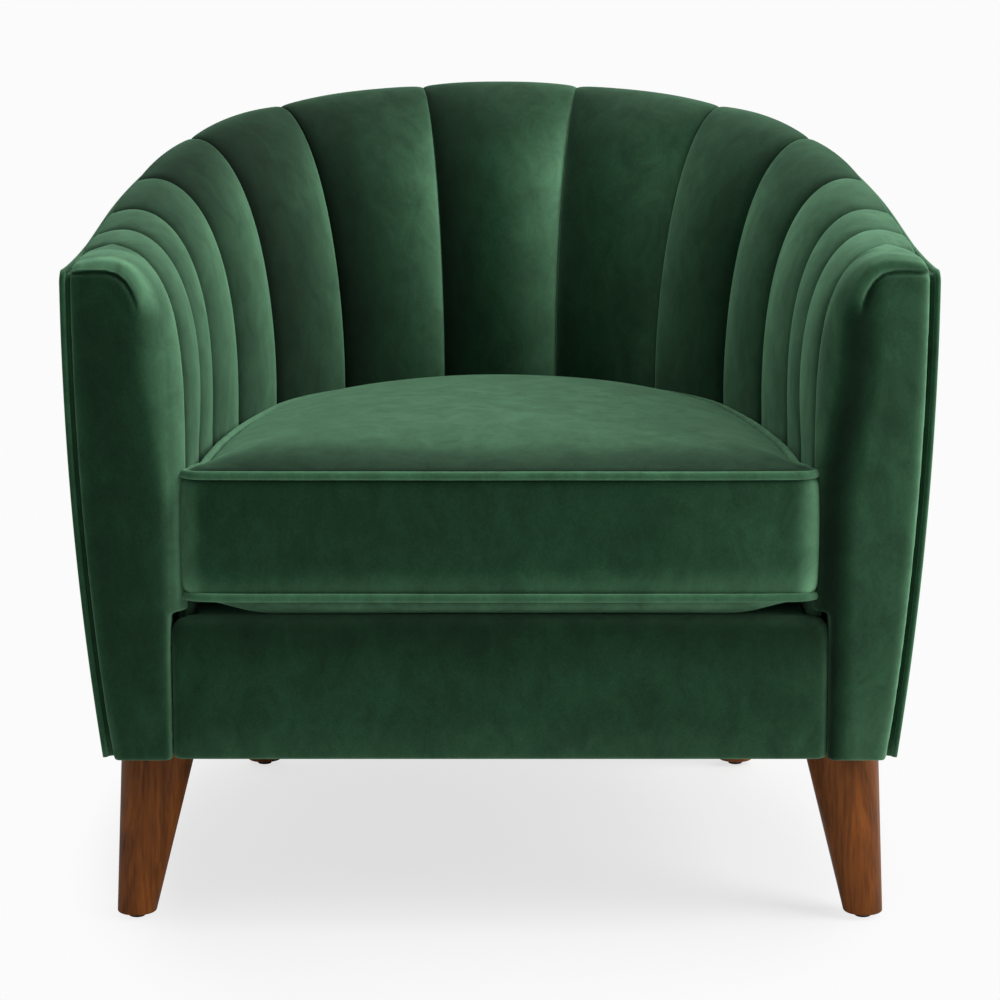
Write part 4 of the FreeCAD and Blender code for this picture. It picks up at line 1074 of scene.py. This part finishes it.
def cushionRing(offset, z, shrink):
    # D-shaped outline grown by an offset, then shrunk about its middle
    values = cushion
    half = values["halfWidth"] + offset
    radius = values["backRadius"] + offset
    cornerY = values["frontY"] + values["cornerRound"]
    lead = values["backCentreY"] - cornerY
    sideRadius = (half ** 2 + lead ** 2 - radius ** 2) / (2 * (half - radius))
    sideX = half - sideRadius
    meet = Vector((-sideX, values["backCentreY"] - cornerY)).normalized()
    meetAngle = asin(meet.y)
    straight = half - values["cornerRound"]
    right = [Vector((straight * step / 14, values["frontY"])) for step in range(14)]
    # corner, side and back as three arcs that meet smoothly
    arcs = (
        (straight, cornerY, values["cornerRound"], [-pi / 2 + pi / 2 * step / 6 for step in range(7)]),
        (sideX, cornerY, sideRadius, [meetAngle * step / 12 for step in range(1, 12)]),
        (0.0, values["backCentreY"], radius, [meetAngle + (pi / 2 - meetAngle) * step / 24 for step in range(25)]),
    )
    for x, y, bend, angles in arcs:
        right += [Vector((x + bend * cos(angle), y + bend * sin(angle))) for angle in angles]
    for point in right:
        depth = point.y - values["frontY"]
        near = clamped((values["flareStart"] - depth) / (values["flareStart"] - values["flareFull"]))
        wide = clamped((point.x - 0.1) / 0.15)
        point.x += values["flare"] * near * near * (3 - 2 * near) * wide
    middle = Vector((0.0, values["middleY"]))
    ring = right + [mirrored(point) for point in right[-2:0:-1]]
    return [Vector((*(middle + (point - middle) * shrink), z)) for point in ring]


def cushionRings():
    values = cushion
    rings = []
    for shrink in values["shrinks"]:
        rise = values["lowCrown"] * (1 - shrink ** values["lowPower"])
        ring = cushionRing(values["grow"], values["lowWelt"], shrink)
        for point in ring:
            corner = smoothStep(abs(point.x), *values["cornerX"]) * smoothStep(-point.y, *values["cornerY"])
            point.z -= rise * (1 - values["lowLift"] * corner)
        rings.append(ring)
    for share in values["boxLevels"]:
        z = values["lowWelt"] + (values["highWelt"] - values["lowWelt"]) * share
        bulge = values["boxBulge"] * (1 - (2 * share - 1) ** 2)
        rings.append(cushionRing(values["grow"] + bulge, z, 1.0))
    for shrink in values["shrinks"][::-1]:
        rise = values["topCrown"] * (1 - shrink ** values["topPower"])
        rings.append(cushionRing(values["grow"], values["highWelt"] + rise, shrink))
    return rings


def blownUp(bm, values):
    # cloth under pressure, held along the two piped edges, moves capped
    mesh = meshFrom(bm, "cushionBlank")
    blank = linked("cushionBlank", mesh)
    rest = [vert.co.copy() for vert in mesh.vertices]
    pins = blank.vertex_groups.new(name="pipedEdges")
    outline = BVHTree.FromPolygons(rest, [tuple(face.vertices) for face in mesh.polygons])
    for index, co in enumerate(rest):
        if min(abs(co.z - values["highWelt"]), abs(co.z - values["lowWelt"])) < values["pinReach"]:
            away = Vector((co.x, co.y - values["pinY"], 0.0)).normalized()
            hit = outline.ray_cast(co + away * values["pinOut"], away)
            if hit[0] is None:
                pins.add([index], 1.0, "REPLACE")
    cloth = blank.modifiers.new("pressure", "CLOTH")
    for name, value in pressure.items():
        setattr(cloth.settings, name, value)
    cloth.settings.effector_weights.gravity = 0.0
    cloth.collision_settings.use_collision = False
    cloth.point_cache.frame_start = 1
    cloth.point_cache.frame_end = values["frames"]
    for step in range(1, values["frames"] + 1):
        scene.frame_set(step)
    soft = takeShape(blank)
    scene.frame_set(1)
    soft.verts.ensure_lookup_table()
    for vert, start in zip(soft.verts, rest):
        move = vert.co - start
        side = Vector((move.x, move.y, 0.0))
        if side.length > values["capSide"]:
            side = side.normalized() * values["capSide"]
        up = values["capUp"] if start.z > values["lowWelt"] + 0.02 else values["capUnder"]
        vert.co = start + side + Vector((0.0, 0.0, min(max(move.z, -values["capDown"]), up)))
    return soft


def sewSeams(bm):
    # the covers are drawn in where the piping is sewn between them
    values = cushion
    for vert in bm.verts:
        away = Vector((vert.co.x, vert.co.y - values["middleY"], 0.0))
        side = 1.0 if abs(vert.normal.z) < 0.9 else 0.0
        for z in (values["lowWelt"], values["highWelt"]):
            share = exp(-(((vert.co.z - z) / values["seamWidth"]) ** 2))
            vert.co -= away.normalized() * (values["seamDepth"] * share * side)


cushionShading = {
    "boxingDepth": (0.33, 0.35), "boxingTop": (0.425, 0.44), "boxing": -0.12, "low": 0.6, "lowFall": (-0.355, -0.325),
    "right": 0.3, "rightReach": (0.05, 0.25), "left": -0.15, "leftReach": (0.1, 0.26), "ends": 0.95,
    "endReach": (0.268, 0.287), "topLeft": -0.25, "topReach": (0.0, 0.25), "topFront": -1.0,
    "frontReach": (0.008, 0.075), "underFall": (-0.318, -0.312),
}


def cushionShadingAt(vert):
    # painted light and shade: boxing paler towards its lower seam and at its ends, top painted deeper at its left
    # side and along its front edge
    values = cushionShading
    x, y, z = vert.co
    boxing = smoothStep(-y, *values["boxingDepth"]) * (1 - smoothStep(z, *values["boxingTop"]))
    low = values["boxing"] + values["low"] * smoothStep(-z, *values["lowFall"])
    side = (values["right"] * smoothStep(x, *values["rightReach"])
            + values["left"] * smoothStep(-x, *values["leftReach"]))
    side += values["ends"] * smoothStep(abs(x), *values["endReach"])
    top = values["topLeft"] * smoothStep(-x, *values["topReach"])
    top += values["topFront"] * (1 - smoothStep(y - cushion["frontY"], *values["frontReach"]))
    under = smoothStep(-z, *values["underFall"])
    return boxing * (low + side) + (1 - boxing) * top * (1 - under)


def makeCushion():
    values = cushion
    bm = lofted(cushionRings())
    bm = blownUp(remeshed(bm, values["voxel"], 2), values)
    soften(bm, bm.verts, 0.4, 2)
    top = [vert for vert in bm.verts if vert.co.z > values["highWelt"] + 0.005]
    soften(bm, top, 0.5, values["topSmoothing"])
    highest = max(vert.co.z for vert in bm.verts)
    stretch = (values["highest"] - values["highWelt"]) / (highest - values["highWelt"])
    for vert in bm.verts:
        if vert.co.z > values["highWelt"]:
            vert.co.z = values["highWelt"] + (vert.co.z - values["highWelt"]) * stretch
        ripple = noise.noise(vert.co * Vector(values["ripple"]))
        vert.co.z += values["rippleUp"] * ripple
        vert.co.y -= values["rippleOut"] * ripple if vert.co.y < values["frontY"] + 0.03 else 0.0
        vert.co.z = max(vert.co.z, values["lowest"])
    sewSeams(bm)
    paintShading(bm, cushionShadingAt)
    surface = BVHTree.FromBMesh(bm)
    piece = finishPiece(
        "piped_seat_cushion", bm, "cushionVelvet", "seat_cushion", ["cushion_cover"])
    smoother = piece.modifiers.new("finer", "SUBSURF")
    smoother.levels = 1
    smoother.render_levels = 1
    print("cushion done")
    return surface


cushionSurface = makeCushion()


def makeCushionPiping():
    # laid on the cushion from outside, along rays towards a smaller copy of the outline
    values = cushion
    for name, z in (("cushion_top_welt", values["highWelt"]), ("cushion_bottom_welt", values["lowWelt"])):
        points = []
        middle = Vector((0.0, values["middleY"], z))
        for point in cushionRing(0.03, z, 1.0):
            away = (point - middle.lerp(point, values["pipePull"])).normalized()
            hit = cushionSurface.ray_cast(point, -away)
            if hit[0] is not None:
                points.append(hit[0] + away * values["pipeOut"])
        bm = pipeMesh("piping_" + name, points, values["pipeRadius"], True)
        # painted highlight: the piping is painted paler than the cloth beside it
        paintShading(bm, lambda vert: values["pipeShading"])
        finishPiece("piping_" + name, bm, "piping", "seat_cushion", [name])
    print("cushion piping done")


makeCushionPiping()

# seat deck under the cushion: a thin wadded pad in plain cloth, over the webbing

deckPad = {
    "frontY": -0.2675, "middleY": -0.04, "grow": 0.008, "lowZ": 0.2665, "highZ": 0.2982,
    "soft": 0.006, "voxel": 0.0045,
    # shares of the outline with their rise above the underside, or their drop below the top
    "lowSteps": ((0.25, 0.0), (0.6, 0.0), (0.9, 0.0), (0.975, 0.1), (1.0, 0.45)),
    "highSteps": ((1.0, 1.0), (0.985, 0.45), (0.96, 0.12), (0.9, 0.0), (0.6, -0.2), (0.25, -0.25)),
}


def makeDeck():
    values = deckPad
    outline = [Vector((point.x, max(point.y, values["frontY"]))) for point in cushionRing(values["grow"], 0.0, 1.0)]
    middle = Vector((0.0, values["middleY"]))
    levels = [(share, values["lowZ"] + values["soft"] * rise) for share, rise in values["lowSteps"]]
    levels += [(share, values["highZ"] - values["soft"] * drop) for share, drop in values["highSteps"]]
    rings = [[Vector((*(middle + (point - middle) * share), z)) for point in outline] for share, z in levels]
    bm = remeshed(lofted(rings), values["voxel"], 2)
    piece = finishPiece("wadded_seat_deck", bm, "deckCloth", "chair", ["deck_pad", "deck_cloth"])
    print("deck done")


makeDeck()

# zip around the back of the cushion: tape, teeth, and a slider with its pull

zipper = {
    "radius": 0.2369, "middleZ": 0.3775, "height": 0.024, "thickness": 0.0012, "halfAngle": 0.632,
    "toothPitch": 0.0032, "tooth": (0.0016, 0.0014, 0.0046),
    # body, ridge, two bridge posts and pull, each with its place and size across, out and up
    "sliderParts": (
        ((0.0, -0.0006, 0.0), (0.0105, 0.0014, 0.0084)),
        ((0.0, 0.0012, 0.0), (0.0062, 0.0008, 0.0024)),
        ((-0.0022, 0.0005, 0.0), (0.0012, 0.0022, 0.0024)),
        ((0.0022, 0.0005, 0.0), (0.0012, 0.0022, 0.0024)),
        ((0.0, 0.0011, -0.0085), (0.0046, 0.0009, 0.0165)),
    ),
}


def zipPlace(radius, angle, z):
    # angle runs from the middle of the cushion's back towards its right side
    return Vector((radius * sin(angle), cushion["backCentreY"] + radius * cos(angle), z))


def makeZip():
    values = zipper
    half = values["halfAngle"]
    low = values["middleZ"] - values["height"] / 2
    bm = bentSheet(90, 6, lambda u, v: zipPlace(values["radius"] + values["thickness"], half * (2 * u - 1),
                                                low + values["height"] * v))
    thicken(bm, values["thickness"], Vector((0.0, 3.0, values["middleZ"])))
    finishPiece("zip_cloth_tape", bm, "zipCloth", "seat_cushion", ["zip_tape"])
    teeth = bmesh.new()
    count = int(2 * half * values["radius"] / values["toothPitch"])
    width, depth, height = values["tooth"]
    radius = values["radius"] + values["thickness"] + depth * 0.4
    for index in range(count):
        angle = half * (2 * (index + 0.5) / count - 1)
        made = bmesh.ops.create_cube(teeth, size=1.0)
        side = 0.0008 if index % 2 else -0.0008
        for vert in made["verts"]:
            x, y, z = vert.co
            taper = 1 - 0.35 * (z + 0.5) if index % 2 else 1 + 0.35 * (z - 0.5)
            vert.co = zipPlace(radius + y * depth, angle + x * width * taper / radius,
                               values["middleZ"] + side + z * height)
    roundEdges(teeth, teeth.edges[:], 0.0002, 1)
    finishPiece("zip_teeth", teeth, "steel", "seat_cushion", smooth=False)
    print("zip done")


def makeSlider():
    low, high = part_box("zip_slider")
    middle = (Vector(low) + Vector(high)) / 2
    angle = atan2(middle.x, middle.y - cushion["backCentreY"])
    radius = Vector((middle.x, middle.y - cushion["backCentreY"])).length
    bm = bmesh.new()
    for number, (place, size) in enumerate(zipper["sliderParts"]):
        made = bmesh.ops.create_cube(bm, size=1.0)
        for vert in made["verts"]:
            x, y, z = (vert.co[axis] * size[axis] + place[axis] for axis in range(3))
            narrow = 1 - 18 * max(0.0, x) if number == 0 else 1.0
            point = zipPlace(radius + y, angle, middle.z + z * narrow)
            vert.co = point + Vector((cos(angle), -sin(angle), 0.0)) * x
    roundEdges(bm, bm.edges[:], 0.0003, 2)
    finishPiece("zip_pull_slider", bm, "steel", "zip_slider", ["zip_slider"], smooth=False)
    print("slider done")


makeZip()
makeSlider()

# legs

legTapers = {
    "topRadius": 0.0368, "footRadius": 0.0185, "footZ": 0.005, "topZ": 0.172, "segments": 64, "footEdge": 0.0016,
    "glideLow": 0.0076, "glideHigh": 0.008, "glideDepth": 0.005, "glideEdge": 0.0008,
    # middle of the top and of the foot on the right side
    "front": ((0.3222, -0.281), (0.3455, -0.306)), "rear": ((0.236, 0.192), (0.262, 0.243)),
}


def makeLeg(place, sign):
    values = legTapers
    height = values["topZ"] - values["footZ"]
    top, foot = (Vector(point) for point in values[place])
    bm = bmesh.new()
    bmesh.ops.create_cone(bm, cap_ends=True, cap_tris=False, segments=values["segments"],
                          radius1=values["footRadius"], radius2=values["topRadius"], depth=height)
    roundEdges(bm, [edge for edge in bm.edges if all(vert.co.z < 0 for vert in edge.verts)], values["footEdge"], 3)
    for vert in bm.verts:
        share = (vert.co.z + height / 2) / height
        centre = foot.lerp(top, share)
        z = values["footZ"] + share * height
        vert.co = Vector(((vert.co.x + centre.x) * sign, vert.co.y + centre.y, z))
    name = f"leg_{place}_{sideName(sign)}"
    piece = finishPiece("turned_" + name, bm, "leg", "chair", [name])
    piece.modifiers.new("crispEnds", "EDGE_SPLIT").split_angle = radians(40)


def makeLegs():
    values = legTapers
    glides = bmesh.new()
    for place in ("front", "rear"):
        for sign in (1, -1):
            makeLeg(place, sign)
            disc = bmesh.ops.create_cone(glides, cap_ends=True, segments=40, radius1=values["glideLow"],
                                         radius2=values["glideHigh"], depth=values["glideDepth"])
            x, y = values[place][1]
            bmesh.ops.translate(glides, vec=(x * sign, y, values["glideDepth"] / 2), verts=disc["verts"])
    roundEdges(glides, sharpEdges(glides), values["glideEdge"], 2)
    finishPiece("foot_glides", glides, "glide", "chair", ["leg_glides"])
    print("legs done")


makeLegs()

# finishes of the nodes that stay

keptFinishes = {
    "frame_wood": "frame", "board": "board", "webbing": "webbing", "dust_cloth": "dustCloth",
    "deck_cloth": "deckCloth",
    "foam": "foam", "zinc_steel": "steel", "zip_cloth": "zipCloth", "zip_metal": "steel", "leg_wood": "leg",
    "velvet": "velvet", "cushion_velvet": "cushionVelvet", "piping": "piping", "glide_plastic": "glide",
}


def dressNodes():
    slots = {entry["node"]: entry["material_slot"] for entry in frame["record"]["subparts"]}
    for name, node in frame["nodes"].items():
        for slot in node.material_slots:
            slot.material = finishes[keptFinishes[slots[name]]]


dressNodes()
print("nodes dressed")
